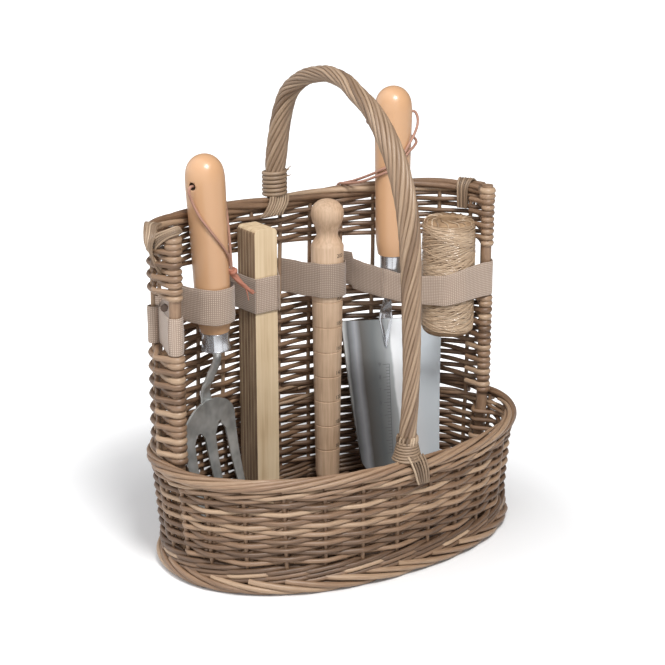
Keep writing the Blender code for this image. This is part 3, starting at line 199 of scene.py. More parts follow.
def bump(tree, shader, height, depth, strength=1.0):
    """Relief of a depth in metres, from a height of 0 to 1."""
    made = node(tree, "ShaderNodeBump", Height=height, Distance=depth, Strength=strength)
    tree.links.new(made.outputs[0], shader.inputs["Normal"])


def attribute(tree, name):
    """The outputs that read a value stored on the mesh."""
    return node(tree, "ShaderNodeAttribute", {"attribute_name": name}).outputs


def strand_place(tree):
    """The place on a rod: round it in X and Y (-1 to 1) and along it in Z (metres), moved for each rod."""
    shift = math_node(tree, "MULTIPLY", attribute(tree, "shade")["Fac"], ROD_SHIFT)
    along = math_node(tree, "ADD", attribute(tree, "along")["Fac"], shift)
    height = node(tree, "ShaderNodeCombineXYZ", Z=along).outputs[0]
    return node(
        tree, "ShaderNodeVectorMath", {"operation": "ADD"}, i0=attribute(tree, "across")["Vector"], i1=height
    ).outputs[0]


def strand_finish(name, stops, roughness, across, along, blotches, depth, **shader_values):
    """The finish of a rod, strand or cord, whose grain runs along it."""
    surface, tree, shader = finish(name, roughness, **shader_values)
    grain = node(
        tree, "ShaderNodeGroup", {"node_tree": GRAIN},
        Place=strand_place(tree), Across=across, Along=along, Blotches=blotches,
    ).outputs
    own = math_node(tree, "MULTIPLY", attribute(tree, "shade")["Fac"], SHADE_SHARE)
    mixed = math_node(tree, "MULTIPLY_ADD", grain["Streaks"], MARK_SHARE, own)
    mixed = math_node(tree, "MULTIPLY_ADD", grain["Patches"], MARK_SHARE, mixed)
    tree.links.new(ramp(tree, mixed, *stops), shader.inputs["Base Color"])
    bump(tree, shader, grain["Height"], depth)
    return surface


print("makers of finishes are ready")

# %% Willow finishes
WILLOW = strand_finish(
    "willow",
    (
        (0.00, (0.050, 0.027, 0.015)),
        (0.28, (0.120, 0.068, 0.038)),
        (0.60, (0.240, 0.145, 0.086)),
        (1.00, (0.430, 0.300, 0.195)),
    ),
    0.42, across=1.6, along=90.0, blotches=25.0, depth=0.00025,
)
HANDLE_WILLOW = strand_finish(
    "handle_willow",
    (
        (0.00, (0.045, 0.026, 0.014)),
        (0.30, (0.140, 0.085, 0.050)),
        (0.65, (0.262, 0.173, 0.109)),
        (1.00, (0.430, 0.312, 0.210)),
    ),
    0.42, across=1.4, along=70.0, blotches=22.0, depth=0.0002,
)
BINDING = strand_finish(
    "binding_willow",
    (
        (0.00, (0.066, 0.043, 0.026)),
        (0.35, (0.180, 0.119, 0.074)),
        (0.70, (0.342, 0.240, 0.157)),
        (1.00, (0.540, 0.416, 0.293)),
    ),
    0.45, across=1.6, along=90.0, blotches=25.0, depth=0.0002,
)
print("willow finishes:", WILLOW.name, HANDLE_WILLOW.name, BINDING.name)

# %% [markdown]
# ## Rods along lines
# Wicker is rods that follow lines. One Geometry Nodes tree turns any set of lines into rods: it reads each
# point's thickness, makes the rod a little uneven with noise, sweeps a circle along it, and keeps how far
# along and round the rod each point is, so that the bark's grain follows the bends.

# %% The rod tree
RODS, rods_in, rods_out = group(
    "rods_along_lines",
    "GeometryNodeTree",
    (
        ("Geometry", "NodeSocketGeometry", None),
        ("Sides", "NodeSocketInt", 8),
        ("Unevenness", "NodeSocketFloat", 0.08),
        ("Lump length", "NodeSocketFloat", 0.015),
        ("Seed", "NodeSocketFloat", 3.0),
        ("Finish", "NodeSocketMaterial", None),
    ),
    (("Geometry", "NodeSocketGeometry"),),
)


def named(tree, name):
    """Reads a number stored on each point."""
    reader = node(tree, "GeometryNodeInputNamedAttribute", {"data_type": "FLOAT"}, Name=name)
    return reader.outputs["Attribute"]


def store(tree, geometry, name, value, kind="FLOAT"):
    """Stores a value on each point under a name."""
    made = node(tree, "GeometryNodeStoreNamedAttribute", {"data_type": kind}, Geometry=geometry, Name=name)
    tree.links.new(value, made.inputs["Value"])
    return made.outputs[0]


def sweep_rods(tree, curve, thickness, sides, surface):
    """Sweeps a circle along curves and ends the tree with real, smooth faces in one material."""
    curve = node(tree, "GeometryNodeSetCurveRadius", Curve=curve, Radius=thickness).outputs[0]
    curve = store(tree, curve, "along", node(tree, "GeometryNodeSplineParameter").outputs["Length"])
    ring = node(tree, "GeometryNodeCurvePrimitiveCircle", Resolution=sides, Radius=1.0).outputs[0]
    ring = store(tree, ring, "across", node(tree, "GeometryNodeInputPosition").outputs[0], "FLOAT_VECTOR")
    skin = node(tree, "GeometryNodeCurveToMesh", Curve=curve, Profile_Curve=ring, Fill_Caps=True)
    if "Scale" in skin.inputs:
        tree.links.new(node(tree, "GeometryNodeInputRadius").outputs[0], skin.inputs["Scale"])
    smooth = node(tree, "GeometryNodeSetShadeSmooth", Geometry=skin.outputs[0]).outputs[0]
    real = node(tree, "GeometryNodeRealizeInstances", Geometry=smooth).outputs[0]
    return node(tree, "GeometryNodeSetMaterial", Geometry=real, Material=surface).outputs[0]


lump_scale = math_node(RODS, "DIVIDE", 1.0, rods_in["Lump length"])
rod_spot = node(RODS, "GeometryNodeInputPosition").outputs[0]
lumps = node(
    RODS, "ShaderNodeTexNoise", {"noise_dimensions": "4D"},
    Vector=rod_spot, W=rods_in["Seed"], Scale=lump_scale, Detail=1.0,
).outputs[0]
swell = math_node(RODS, "MULTIPLY_ADD", math_node(RODS, "SUBTRACT", lumps, 0.5), rods_in["Unevenness"], 0.5)
thickness = math_node(RODS, "MULTIPLY", named(RODS, "thick"), math_node(RODS, "MULTIPLY", swell, 2.0))
lines_as_curves = node(RODS, "GeometryNodeMeshToCurve", Mesh=rods_in["Geometry"]).outputs[0]
RODS.links.new(sweep_rods(RODS, lines_as_curves, thickness, rods_in["Sides"], rods_in["Finish"]), rods_out[0])
print("rod tree:", len(RODS.nodes), "nodes")

# %% Rods from lines
rng = np.random.default_rng(11)


def line(points, thick, shade=None, closed=False):
    """One rod: points, radius and shade (0 dark, 1 light), the last two a number or one for each point."""
    points = np.asarray(points, dtype=float)
    shade = rng.random() if shade is None else shade
    thick = np.broadcast_to(np.asarray(thick, dtype=float), (len(points),))
    shade = np.broadcast_to(np.asarray(shade, dtype=float), (len(points),))
    return points, thick, shade, closed


def baked(name, data, tree, values):
    """Runs a geometry tree on mesh data once and returns the result as a plain object."""
    holder = bpy.data.objects.new(name + "_lines", data)
    bpy.context.collection.objects.link(holder)
    modifier = holder.modifiers.new("Tree", "NODES")
    modifier.node_group = tree
    for label, value in values.items():
        modifier[socket_name(tree, label)] = value
    bpy.context.view_layer.update()
    graph = bpy.context.evaluated_depsgraph_get()
    mesh = bpy.data.meshes.new_from_object(holder.evaluated_get(graph))
    mesh.name = name
    holder.modifiers.clear()
    bpy.data.objects.remove(holder)
    piece = bpy.data.objects.new(name, mesh)
    bpy.context.collection.objects.link(piece)
    return piece


def rods(name, lines, surface, sides=8, unevenness=0.10):
    """All the rods of one piece."""
    corners = np.concatenate([points for points, _, _, _ in lines])
    edges = []
    start = 0
    for points, _, _, closed in lines:
        count = len(points)
        edges += [(start + step, start + step + 1) for step in range(count - 1)]
        if closed:
            edges.append((start + count - 1, start))
        start += count
    data = bpy.data.meshes.new(name + "_lines")
    data.from_pydata(corners.tolist(), edges, [])
    for label, values in (
        ("thick", np.concatenate([thick for _, thick, _, _ in lines])),
        ("shade", np.concatenate([shade for _, _, shade, _ in lines])),
    ):
        data.attributes.new(label, "FLOAT", "POINT").data.foreach_set("value", values.astype(np.float32))
    piece = baked(name, data, RODS, {"Sides": sides, "Unevenness": unevenness, "Finish": surface})
    print(name, "rods:", len(lines), "faces:", len(piece.data.polygons))
    return piece


def place_piece(piece, body, slot, *replaced):
    """Tells the frame which body a piece rides on and the solids that it stands for; its slot is not used."""
    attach(piece, body)
    if replaced:
        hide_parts(*replaced)


# %% [markdown]
# ## The plan
# The basket's outline is an ellipse with squared corners. A place on it is read by its share of the whole
# length, from the middle of the back round to the right, so that stakes can stand at even steps.

# %% The outline
CORNER_SHARE = 0.93
DIRECTION_STEP = 0.001
STAKES = 28
STAKE_SHIFT = 0.19
PLAN_STEPS = 1440


class Plan:
    """The outline at one level."""

    def __init__(self, half_width, half_depth):
        angle = np.linspace(0, 2 * np.pi, PLAN_STEPS + 1)
        across = np.sign(np.sin(angle)) * np.abs(np.sin(angle)) ** CORNER_SHARE
        back = np.sign(np.cos(angle)) * np.abs(np.cos(angle)) ** CORNER_SHARE
        self.points = np.stack([half_width * across, half_depth * back], axis=1)
        steps = np.linalg.norm(np.diff(self.points, axis=0), axis=1)
        self.lengths = np.concatenate([[0], np.cumsum(steps)])

    def at(self, share):
        """Points and outward directions at shares of the outline."""
        distance = np.mod(share, 1) * self.lengths[-1]
        along = self.spot(distance + DIRECTION_STEP) - self.spot(distance - DIRECTION_STEP)
        along /= np.linalg.norm(along, axis=1)[:, None]
        return self.spot(distance), np.stack([-along[:, 1], along[:, 0]], axis=1)

    def spot(self, distance):
        """Points at distances along the outline."""
        distance = np.mod(distance, self.lengths[-1])
        return np.stack([np.interp(distance, self.lengths, self.points[:, axis]) for axis in (0, 1)], axis=1)


class Wall:
    """A wall that leans between the outlines at two levels."""

    def __init__(self, low_plan, low, high_plan, high):
        self.plans = (low_plan, high_plan)
        self.levels = (low, high)

    def at(self, share, height, offset=0.0):
        """Points at shares, heights and offsets towards the outside."""
        share = np.atleast_1d(np.asarray(share, dtype=float))
        height = np.broadcast_to(np.asarray(height, dtype=float), share.shape)
        part = ((height - self.levels[0]) / (self.levels[1] - self.levels[0]))[:, None]
        low_point, outward = self.plans[0].at(share)
        high_point, _ = self.plans[1].at(share)
        move = outward * np.broadcast_to(offset, share.shape)[:, None]
        flat = low_point * (1 - part) + high_point * part + move
        return np.column_stack([flat, height])


print("the outline's two classes are ready")

# %% The two walls
BOWL_TOP = 0.0751
FOOT_PLAN = Plan(0.1362, 0.0885)
RIM_PLAN = Plan(0.1423, 0.0900)
BACK_HALF_WIDTH = 0.1396
BOWL = Wall(Plan(0.1340, 0.0865), 0.011, Plan(0.1400, 0.0890), BOWL_TOP)
RAIL_HEIGHT = 0.2348
RAIL_HALF_DEPTH = 0.0834
RAIL_PLAN = Plan(BACK_HALF_WIDTH, RAIL_HALF_DEPTH)
BACK = Wall(Plan(BACK_HALF_WIDTH, 0.0890), 0.0847, RAIL_PLAN, RAIL_HEIGHT)
RAIL_RISE = 0.0070
POST_PLACES = (Vector((-0.1333, -0.0030, 0)), Vector((0.1333, -0.0030, 0)))
POST_RADIUS = 0.0042
ROD = 0.00178
STAKE = 0.0016
SWING = 0.0024
# How much darker rods behind the posts are painted: painted shade for the basket's shaded inside.
PAINTED_SHADE_SHARE = 0.45
print("the posts stand apart, mm:", round((POST_PLACES[1] - POST_PLACES[0]).length * 1000, 1))

# %% [markdown]
# The stakes don't stand quite evenly: at the front they have been pressed to one side. The moves are given
# in stake gaps, and fade out on both sides of the place where they are largest.

# %% Places of the stakes
FRONT_SHIFT = 0.43
FRONT_SHARE = 0.70
FRONT_REACH = 0.30
CORNER_REACH = 0.07


def front_move(share):
    """How many stake gaps the stakes have moved on at a share of the outline: most at the front's left."""
    past = np.mod(share, 1) - FRONT_SHARE
    near = np.clip(1 - np.abs(past) / np.where(past > 0, CORNER_REACH, FRONT_REACH), 0, 1)
    return FRONT_SHIFT * near**2 * (3 - 2 * near)


def stake_phase(share):
    """The number of the stake at a share of the outline, with a fraction between two stakes."""
    return STAKES * share - STAKE_SHIFT - front_move(share)


def stake_share(number):
    """The share of the outline at a stake, found in a few steps, since its move depends on the share."""
    share = (np.asarray(number) + STAKE_SHIFT) / STAKES
    for _ in range(4):
        share = (number + STAKE_SHIFT + front_move(share)) / STAKES
    return share


def rail_lift(x):
    """How far the rail has risen at a distance from its middle."""
    return RAIL_RISE * (np.abs(x) / BACK_HALF_WIDTH) ** 1.3


def wander(count, size, waves=5, closed=True):
    """A slow random drift, the same at both ends of a closed line."""
    turn_steps = np.linspace(0, 2 * np.pi, count, endpoint=not closed)
    drift = np.zeros(count)
    for wave in range(1, waves + 1):
        drift += rng.normal() * np.cos(wave * turn_steps + rng.uniform(0, 2 * np.pi)) / wave
    return size * drift / 1.5


print("outline, mm:", round(FOOT_PLAN.lengths[-1] * 1000))

# %% [markdown]
# ## The bowl
# Plain weave: every rod passes outside one stake and inside the next, and the next row does the opposite.
# A cosine along the outline does this, with its sign changed from row to row. At the foot and the mouth
# three rods travel together (a wale), each outside two stakes and inside the third, which locks the weave.

# %% Bowl weave
BOWL_ROWS = 15
BOWL_FIRST_ROW = 0.0230
BOWL_LAST_ROW = 0.0703
POINTS_BETWEEN = 10
POST_SHARE = 0.2555
POST_DETOUR = 0.0118
RIGHT_NEAR = 0.0110
LEFT_NEAR = 0.0068
BEND_SHARE = 0.97  # 1 would be a sharp corner at each stake
WALE_BULGE = 1.25  # how far a wale stands out, in swings
FOOT_WALE = (0.0105, 3, 0.0018)  # height, rows, rod radius
MOUTH_WALE = (0.0738, 1, 0.0015)
STAKE_FOOT = 0.006
STAKE_TOP = 0.081
PAINTED_SHADE_REACH = 0.03  # how far behind the posts the rods are painted fully darker, as painted shade
full_turn = np.linspace(0, 1, STAKES * POINTS_BETWEEN, endpoint=False)
bowl_lines = []


def weave_swing(share, row):
    """Offset of plain weave at shares of the outline: straight from stake to stake, with rounded bends."""
    wave = np.cos(np.pi * (stake_phase(share) + row))
    return SWING * np.arcsin(BEND_SHARE * wave) / np.arcsin(BEND_SHARE)


def wale(wall, height, rows, thick):
    """Rows of three rods, each outside two stakes and inside the third, rising as it goes."""
    made = []
    for row in range(rows):
        for strand in range(3):
            turns = (strand + row - stake_phase(full_turn)) / 3
            swing = np.clip(1 / 3 + 4 / 3 * np.cos(2 * np.pi * turns), -1, WALE_BULGE) * SWING
            level = height + 2 * thick * row + 0.9 * thick * np.sin(2 * np.pi * turns)
            route = wall.at(full_turn, level + wander(len(full_turn), 0.0002), swing)
            made.append(line(route, thick, closed=True))
    return made


def inside_posts(share):
    """How far a row goes in to pass inside the corner posts, briefly at the left one, near two stakes."""
    offset = np.zeros(len(share))
    outline = BOWL.plans[1].lengths[-1]
    for post_share, near in ((POST_SHARE, RIGHT_NEAR), (1 - POST_SHARE, LEFT_NEAR)):
        offset -= POST_DETOUR * np.exp(-(((share - post_share) * outline / near) ** 2))
    return offset


for row, height in enumerate(np.linspace(BOWL_FIRST_ROW, BOWL_LAST_ROW, BOWL_ROWS)):
    level = height + wander(len(full_turn), 0.00022)
    thick = ROD * rng.uniform(0.92, 1.08) * (1 + wander(len(full_turn), 0.05, 3))
    swing = weave_swing(full_turn, row) + (0 if row % 2 else inside_posts(full_turn))
    route = BOWL.at(full_turn, level, swing)
    # Painted shade: the bowl's rods are darker in its back half, behind the posts.
    shade = rng.random() * (1 - PAINTED_SHADE_SHARE * np.clip(route[:, 1] / PAINTED_SHADE_REACH, 0, 1))
    bowl_lines.append(line(route, thick, shade, closed=True))
bowl_lines += wale(BOWL, *FOOT_WALE)
bowl_lines += wale(BOWL, *MOUTH_WALE)

for number in range(STAKES):
    heights = np.linspace(STAKE_FOOT, STAKE_TOP, 12)
    side = np.repeat(stake_share(number), len(heights))
    side = side + wander(len(heights), 0.0006, 2, closed=False)
    bowl_lines.append(line(BOWL.at(side, heights), STAKE, shade=rng.uniform(0.2, 0.7)))
bowl = rods("bowl_weave", bowl_lines, WILLOW)
place_piece(bowl, "basket", "willow", "bowl_wall")
print("rods in the bowl's wall:", len(bowl_lines))

# %% [markdown]
# ## The borders
# At the foot and the mouth each stake is bent over and laid along the edge, over the next ones. So a border
# is one thick rod for each stake: at the foot it starts as a cut end near the top and slants down to the
# ground; at the mouth it comes up from the outside and rolls over to the inside.

# %% Foot and rim borders
BORDER_STEPS = 40


def border(plan, height, reach, thick, start_deg, end_deg, spacings, floor=None, cut_lift=0.0):
    """One rod for each stake, laid along an edge while it turns round the edge's middle."""
    made = []
    for number in range(STAKES):
        part = np.linspace(0, 1, BORDER_STEPS)
        share = stake_share(number) - part * spacings / STAKES + rng.uniform(-0.003, 0.003)
        angle = np.radians(start_deg + (end_deg - start_deg) * part + rng.uniform(-8, 8))
        own = thick * rng.uniform(0.92, 1.08) * np.interp(part, (0, 0.7, 1), (1.05, 0.95, 0.55))
        out = reach * (1 + rng.uniform(-0.05, 0.05)) + cut_lift * np.exp(-part * 14)
        flat, outward = plan.at(share)
        level = height + out * np.sin(angle)
        if floor is not None:
            level = np.maximum(level, own + floor)
        flat = flat + outward * (out * np.cos(angle))[:, None]
        made.append(line(np.column_stack([flat, level]), own, shade=rng.uniform(0.3, 1.0)))
    share = np.linspace(0, 1, STAKES * 6, endpoint=False)
    flat, _ = plan.at(share)
    core = np.column_stack([flat, np.full(len(share), height)])
    made.append(line(core, thick, shade=0.1, closed=True))
    return made


foot_lines = border(
    FOOT_PLAN, height=0.0060, reach=0.0038, thick=0.0020, start_deg=78, end_deg=-140, spacings=3.3, floor=0.0,
    cut_lift=0.0007,
)
foot = rods("foot_border_rods", foot_lines, WILLOW)
place_piece(foot, "basket", "willow", "foot_border")
rim_lines = border(
    RIM_PLAN, height=0.0813, reach=0.0034, thick=0.0018, start_deg=-80, end_deg=165, spacings=4.4
)
rim = rods("rim_border_rods", rim_lines, WILLOW)
place_piece(rim, "basket", "willow", "rim_border")
print("rods in the borders:", len(foot_lines), len(rim_lines))

# %% [markdown]
# ## The woven floor
# Thin sticks lie across the basket, and rods are woven over and under them, each as long as the outline
# is wide at its place.

# %% Floor weave
FLOOR_MIDDLE = 0.0054
FLOOR_STICK = 0.0011
FLOOR_ROD = 0.0009
FLOOR_STICKS = 13
FLOOR_ROWS = 62
FLOOR_FULLNESS = 1.2  # the rods are fuller than their crossings, so that they close up
OUTER_STICK = 0.118
OUTER_ROW = 0.079
floor_lines = []
floor_plan = Plan(0.1300, 0.0820)
stick_places = np.linspace(-OUTER_STICK, OUTER_STICK, FLOOR_STICKS)


def half_length(plan, place, axis):
    """How far the outline reaches across, at a place on the other axis."""
    near = np.argsort(np.abs(plan.points[:, axis] - place))[:8]
    return np.abs(plan.points[near, 1 - axis]).mean()


for place in stick_places:
    reach = half_length(floor_plan, place, 0)
    run = np.linspace(-reach, reach, 20)
    spots = np.column_stack([np.full(20, place), run, np.full(20, FLOOR_MIDDLE)])
    floor_lines.append(line(spots, FLOOR_STICK, shade=0.5))
stick_gap = stick_places[1] - stick_places[0]
for row, place in enumerate(np.linspace(-OUTER_ROW, OUTER_ROW, FLOOR_ROWS)):
    reach = half_length(floor_plan, place, 1)
    count = max(12, int(reach * 2 / stick_gap * 8))
    run = np.linspace(-reach, reach, count)
    lift = (FLOOR_STICK + FLOOR_ROD) * np.cos(np.pi * (run - stick_places[0]) / stick_gap + np.pi * row)
    spot = np.column_stack([run, np.full(count, place) + wander(count, 0.0003, 3), FLOOR_MIDDLE + lift])
    # The floor's rods are given darker shades than the walls': painted shade inside the basket.
    floor_lines.append(line(spot, FLOOR_ROD * FLOOR_FULLNESS, shade=rng.uniform(0.1, 0.5)))
floor_piece = rods("floor_weave", floor_lines, WILLOW, sides=6)
place_piece(floor_piece, "basket", "willow", "woven_floor")
print("rods in the floor:", len(floor_lines))

# %% [markdown]
# ## The back
# The back is woven between the corner posts in two zones, with a slot between them that only the stakes
# cross. Each rod turns round a post at both ends, which makes the rings down the posts' fronts. The upper
# rows fan out towards the corners, because the rail rises there.

# %% Back weave
LOWER_LEVELS = np.linspace(0.0868, 0.1608, 16)
UPPER_ROWS = 8
CUT_END_LEVELS = (0.2352, 0.1948)
UPPER_BOTTOM = 0.2012
BACK_END_SHARE = 0.2420
BACK_ROD = 0.0020
UPPER_ROD = 0.0018
RING_SWELL = 1.42
RING_REACH = 0.0037
RING_SINK = 0.0004
FADE_GAPS = 0.35  # how many stake gaps before its end a row stops weaving
TAIL_SHIFT_OUTSIDE = 0.0012
TAIL_SHIFT_INSIDE = -0.0010
TAIL_BEND = 0.006
TAIL_LEAN = 0.001
TAIL_END = 0.013
SWELL_REACH_X = 0.009
SWELL_REACH_Y = 0.010
# Where the back's rows start to be painted darker inside the basket, and how far on they are fully so:
# painted shade.
PAINTED_SHADE_START_Y = 0.010
PAINTED_SHADE_REACH_Y = 0.020
BACK_HALF_WAY = 0.15
RAIL_CLEARANCE = 0.0040
END_STAKE = 6
BACK_STAKE_FOOT = 0.078
BACK_STAKE_TOP = 0.238
TOP_RING_LEVELS = (0.2390, 0.2432)
TOP_RING_ROD = 0.0026
back_lines = []


def row_line(level_at, row, thick):
    """A rod of the back: woven between the posts and turned round each, its tails tucked in."""
    share = np.linspace(-BACK_END_SHARE, BACK_END_SHARE, 15 * POINTS_BETWEEN)
    flat = BACK.at(share, BACK_HALF_WAY)
    level = level_at(flat[:, 0]) + wander(len(share), 0.0004, 6, closed=False)
    swing = weave_swing(share, row)
    fade = np.clip((BACK_END_SHARE - np.abs(share)) * STAKES / FADE_GAPS, 0, 1)
    ends = np.sign(weave_swing(np.array([-BACK_END_SHARE, BACK_END_SHARE]), row))
    side_swing = np.where(share < 0, ends[0], ends[1]) * (RING_REACH + thick * 0.4)
    points = BACK.at(share, level, swing * fade + side_swing * (1 - fade))
    pieces = [points]
    for end, post in ((0, POST_PLACES[0]), (1, POST_PLACES[1])):
        outside = ends[end] > 0
        outward_x = -1 if end == 0 else 1
        steps = np.linspace(0, np.pi, 11)[1:]
        start = 0 if outside else np.pi
        angle = start + steps * (1 if outside else -1)
        level_here = level[0 if end == 0 else -1] - RING_SINK
        ring = np.column_stack([
            post.x + outward_x * RING_REACH * np.cos(angle),
            post.y - RING_REACH * np.sin(angle),
            np.full(len(steps), level_here),
        ])
        tail_x = ring[-1, 0] - outward_x * (TAIL_SHIFT_OUTSIDE if outside else TAIL_SHIFT_INSIDE)
        tail = np.array([
            [tail_x, post.y + TAIL_BEND, level_here],
            [tail_x - outward_x * TAIL_LEAN, post.y + TAIL_END, level_here],
        ])
        turn_round = np.concatenate([ring, tail])
        pieces = [turn_round[::-1]] + pieces if end == 0 else pieces + [turn_round]
    route = np.concatenate(pieces)
    near_post = np.clip(1 - (np.abs(np.abs(route[:, 0]) - POST_PLACES[1].x) / SWELL_REACH_X), 0, 1)
    near_post *= np.clip(1 - (route[:, 1] - POST_PLACES[1].y) / SWELL_REACH_Y, 0, 1)
    # Painted shade: the part of a row inside the basket, behind the posts, is darker.
    inside = np.clip((route[:, 1] - PAINTED_SHADE_START_Y) / PAINTED_SHADE_REACH_Y, 0, 1)
    swollen = thick * (1 + (RING_SWELL - 1) * near_post)
    return line(route, swollen, rng.uniform(0.1, 1) * (1 - PAINTED_SHADE_SHARE * inside))


print("rows under the slot and over it:", len(LOWER_LEVELS), UPPER_ROWS)

# %% Rows and stakes of the back


def upper_level(x, row):
    """The height of an upper row, which follows the rail more the higher it is."""
    share = (row + 0.5) / UPPER_ROWS
    span = RAIL_HEIGHT - RAIL_CLEARANCE - UPPER_BOTTOM + rail_lift(x)
    return UPPER_BOTTOM + span * share


for row, level in enumerate(LOWER_LEVELS):
    thick = BACK_ROD * rng.uniform(0.93, 1.07)
    back_lines.append(row_line(lambda x, level=level: np.full(len(x), level), row, thick))
for row in range(UPPER_ROWS):
    thick = UPPER_ROD * rng.uniform(0.93, 1.07)
    back_lines.append(row_line(lambda x, row=row: upper_level(x, row), row, thick))
for number in range(-END_STAKE, END_STAKE + 1):
    heights = np.linspace(BACK_STAKE_FOOT, BACK_STAKE_TOP, 22)
    side = np.repeat(stake_share(number), len(heights)) + wander(len(heights), 0.0005, 3, closed=False)
    back_lines.append(line(BACK.at(side, heights), STAKE, shade=rng.uniform(0.35, 0.8)))
for post in POST_PLACES:
    for level in TOP_RING_LEVELS:
        turns = np.linspace(0, 2 * np.pi, 24, endpoint=False)
        ring = np.column_stack([
            post.x + RING_REACH * np.cos(turns), post.y + RING_REACH * np.sin(turns), np.full(24, level),
        ])
        back_lines.append(line(ring, TOP_RING_ROD, closed=True))
for level in CUT_END_LEVELS:
    cut_end = [(-0.1335, 0.0110, level - 0.0015), (-0.1362, 0.0062, level), (-0.1392, 0.0012, level + 0.0010)]
    back_lines.append(line(cut_end, 0.0025, shade=-0.4))
back = rods("back_weave", back_lines, WILLOW)
place_piece(back, "basket", "willow", "back_panel")
print("rods in the back:", len(back_lines))

# %% [markdown]
# ## Posts and rail
# Two thick corner stakes carry the back. The rail is a bundle of long rods with a slow twist.

# %% Posts and rail
POST_TOP = 0.2475
FOOT_LEVEL = 0.0083  # of all that stands on the woven floor
POST_LEAN = 0.0936  # sideways for each metre down, as the bowl's ends lean
for name, post in (("left", POST_PLACES[0]), ("right", POST_PLACES[1])):
    heights = np.array([FOOT_LEVEL, 0.03, 0.055, 0.0721, 0.0781, 0.11, 0.16, 0.20, 0.23, POST_TOP])
    lean = (BOWL_TOP - np.minimum(heights, BOWL_TOP)) * POST_LEAN
    x = post.x - np.sign(post.x) * lean
    spots = np.column_stack([x, np.full(len(x), post.y), heights])
    post_line = line(spots, POST_RADIUS, shade=0.55)
    piece = rods(name + "_post_rod", [post_line], WILLOW, sides=20, unevenness=0.04)
    place_piece(piece, "basket", "willow", name + "_post")

RAIL_STRANDS = 4
RAIL_TWIST_TURNS = 1.7
RAIL_END_SHARE = 0.236
RAIL_POINTS = 90
RAIL_REACH = 0.0029
RAIL_ROD = 0.0023
rail_share = np.linspace(-RAIL_END_SHARE, RAIL_END_SHARE, RAIL_POINTS)
rail_flat, rail_outward = RAIL_PLAN.at(rail_share)
rail_middle = RAIL_HEIGHT + rail_lift(rail_flat[:, 0])
rail_lines = []
for strand in range(RAIL_STRANDS):
    angle = 2 * np.pi * (strand / RAIL_STRANDS + RAIL_TWIST_TURNS * np.linspace(0, 1, RAIL_POINTS))
    angle += wander(RAIL_POINTS, 0.25, 4, closed=False)
    flat = rail_flat + rail_outward * (RAIL_REACH * np.cos(angle))[:, None]
    spots = np.column_stack([flat, rail_middle + RAIL_REACH * np.sin(angle)])
    rail_lines.append(line(spots, RAIL_ROD * rng.uniform(0.9, 1.12), shade=rng.uniform(0.2, 1.0)))
rail = rods("rail_rods", rail_lines, WILLOW)
place_piece(rail, "basket", "willow", "top_rail")
print("strands of the rail:", len(rail_lines))

# %% [markdown]
# ## The handle
# Rods are laid side by side round a core and run up the bow in a spiral. The bow lies in one plane, so its
# frame is easy: one direction is across the basket, and the other is square to it and to the bow.

# %% Handle
HANDLE_RODS = 12
HANDLE_PITCH = 0.125
HANDLE_THICKEST = 0.0080
RAIL_TOP = 0.2390
RIM_TOP = 0.0844
HANDLE_TOP = 0.3455
APEX_RADIUS_SHARE = 0.73
HANDLE_APEX = HANDLE_TOP - HANDLE_THICKEST * APEX_RADIUS_SHARE
BACK_FOOT_Y = RAIL_HALF_DEPTH
HANDLE_CORE_SHARE = 0.64
HANDLE_ROD_SHARE = 0.208
FRONT_FOOT_Y = 0.0865
# Each leg's points: depth share of the foot's, height share from foot to apex, radius share of the thickest
BACK_LEG_SHARES = (
    (1.000, 0.000, 0.74), (0.990, 0.186, 0.90), (0.970, 0.299, 1.00), (0.922, 0.483, 0.98),
    (0.852, 0.663, 0.94), (0.747, 0.808, 0.88), (0.600, 0.897, 0.80), (0.437, 0.956, 0.75),
    (0.227, 0.993, 0.73),
)
FRONT_LEG_SHARES = (
    (-0.094, 1.000, 0.73), (0.110, 0.990, 0.74), (0.260, 0.966, 0.78), (0.444, 0.937, 0.82),
    (0.570, 0.905, 0.88), (0.695, 0.862, 0.94), (0.806, 0.812, 0.96), (0.916, 0.734, 0.97),
    (0.973, 0.665, 0.96), (1.012, 0.560, 0.92), (1.029, 0.430, 0.85), (1.041, 0.264, 0.76),
    (1.028, 0.160, 0.74), (1.007, 0.089, 0.76), (1.000, 0.000, 0.80),
)


def smooth_line(points, count):
    """Evenly spaced points on a smooth curve through the given ones, whatever their number of columns."""
    points = np.asarray(points, dtype=float)
    padded = np.concatenate([[2 * points[0] - points[1]], points, [2 * points[-1] - points[-2]]])
    part = np.linspace(0, 1, 16, endpoint=False)[:, None]
    dense = []
    for before, start, end, after in zip(padded, padded[1:], padded[2:], padded[3:]):
        dense.append(
            (2 * start + (end - before) * part + (2 * before - 5 * start + 4 * end - after) * part**2
             + (3 * start - before - 3 * end + after) * part**3) / 2
        )
    dense = np.concatenate(dense + [points[-1:]])
    steps = np.linalg.norm(np.diff(dense[:, :3], axis=0), axis=1)
    far = np.concatenate([[0], np.cumsum(steps)])
    want = np.linspace(0, far[-1], count)
    smooth = [np.interp(want, far, dense[:, axis]) for axis in range(points.shape[1])]
    return np.stack(smooth, axis=1), far[-1]


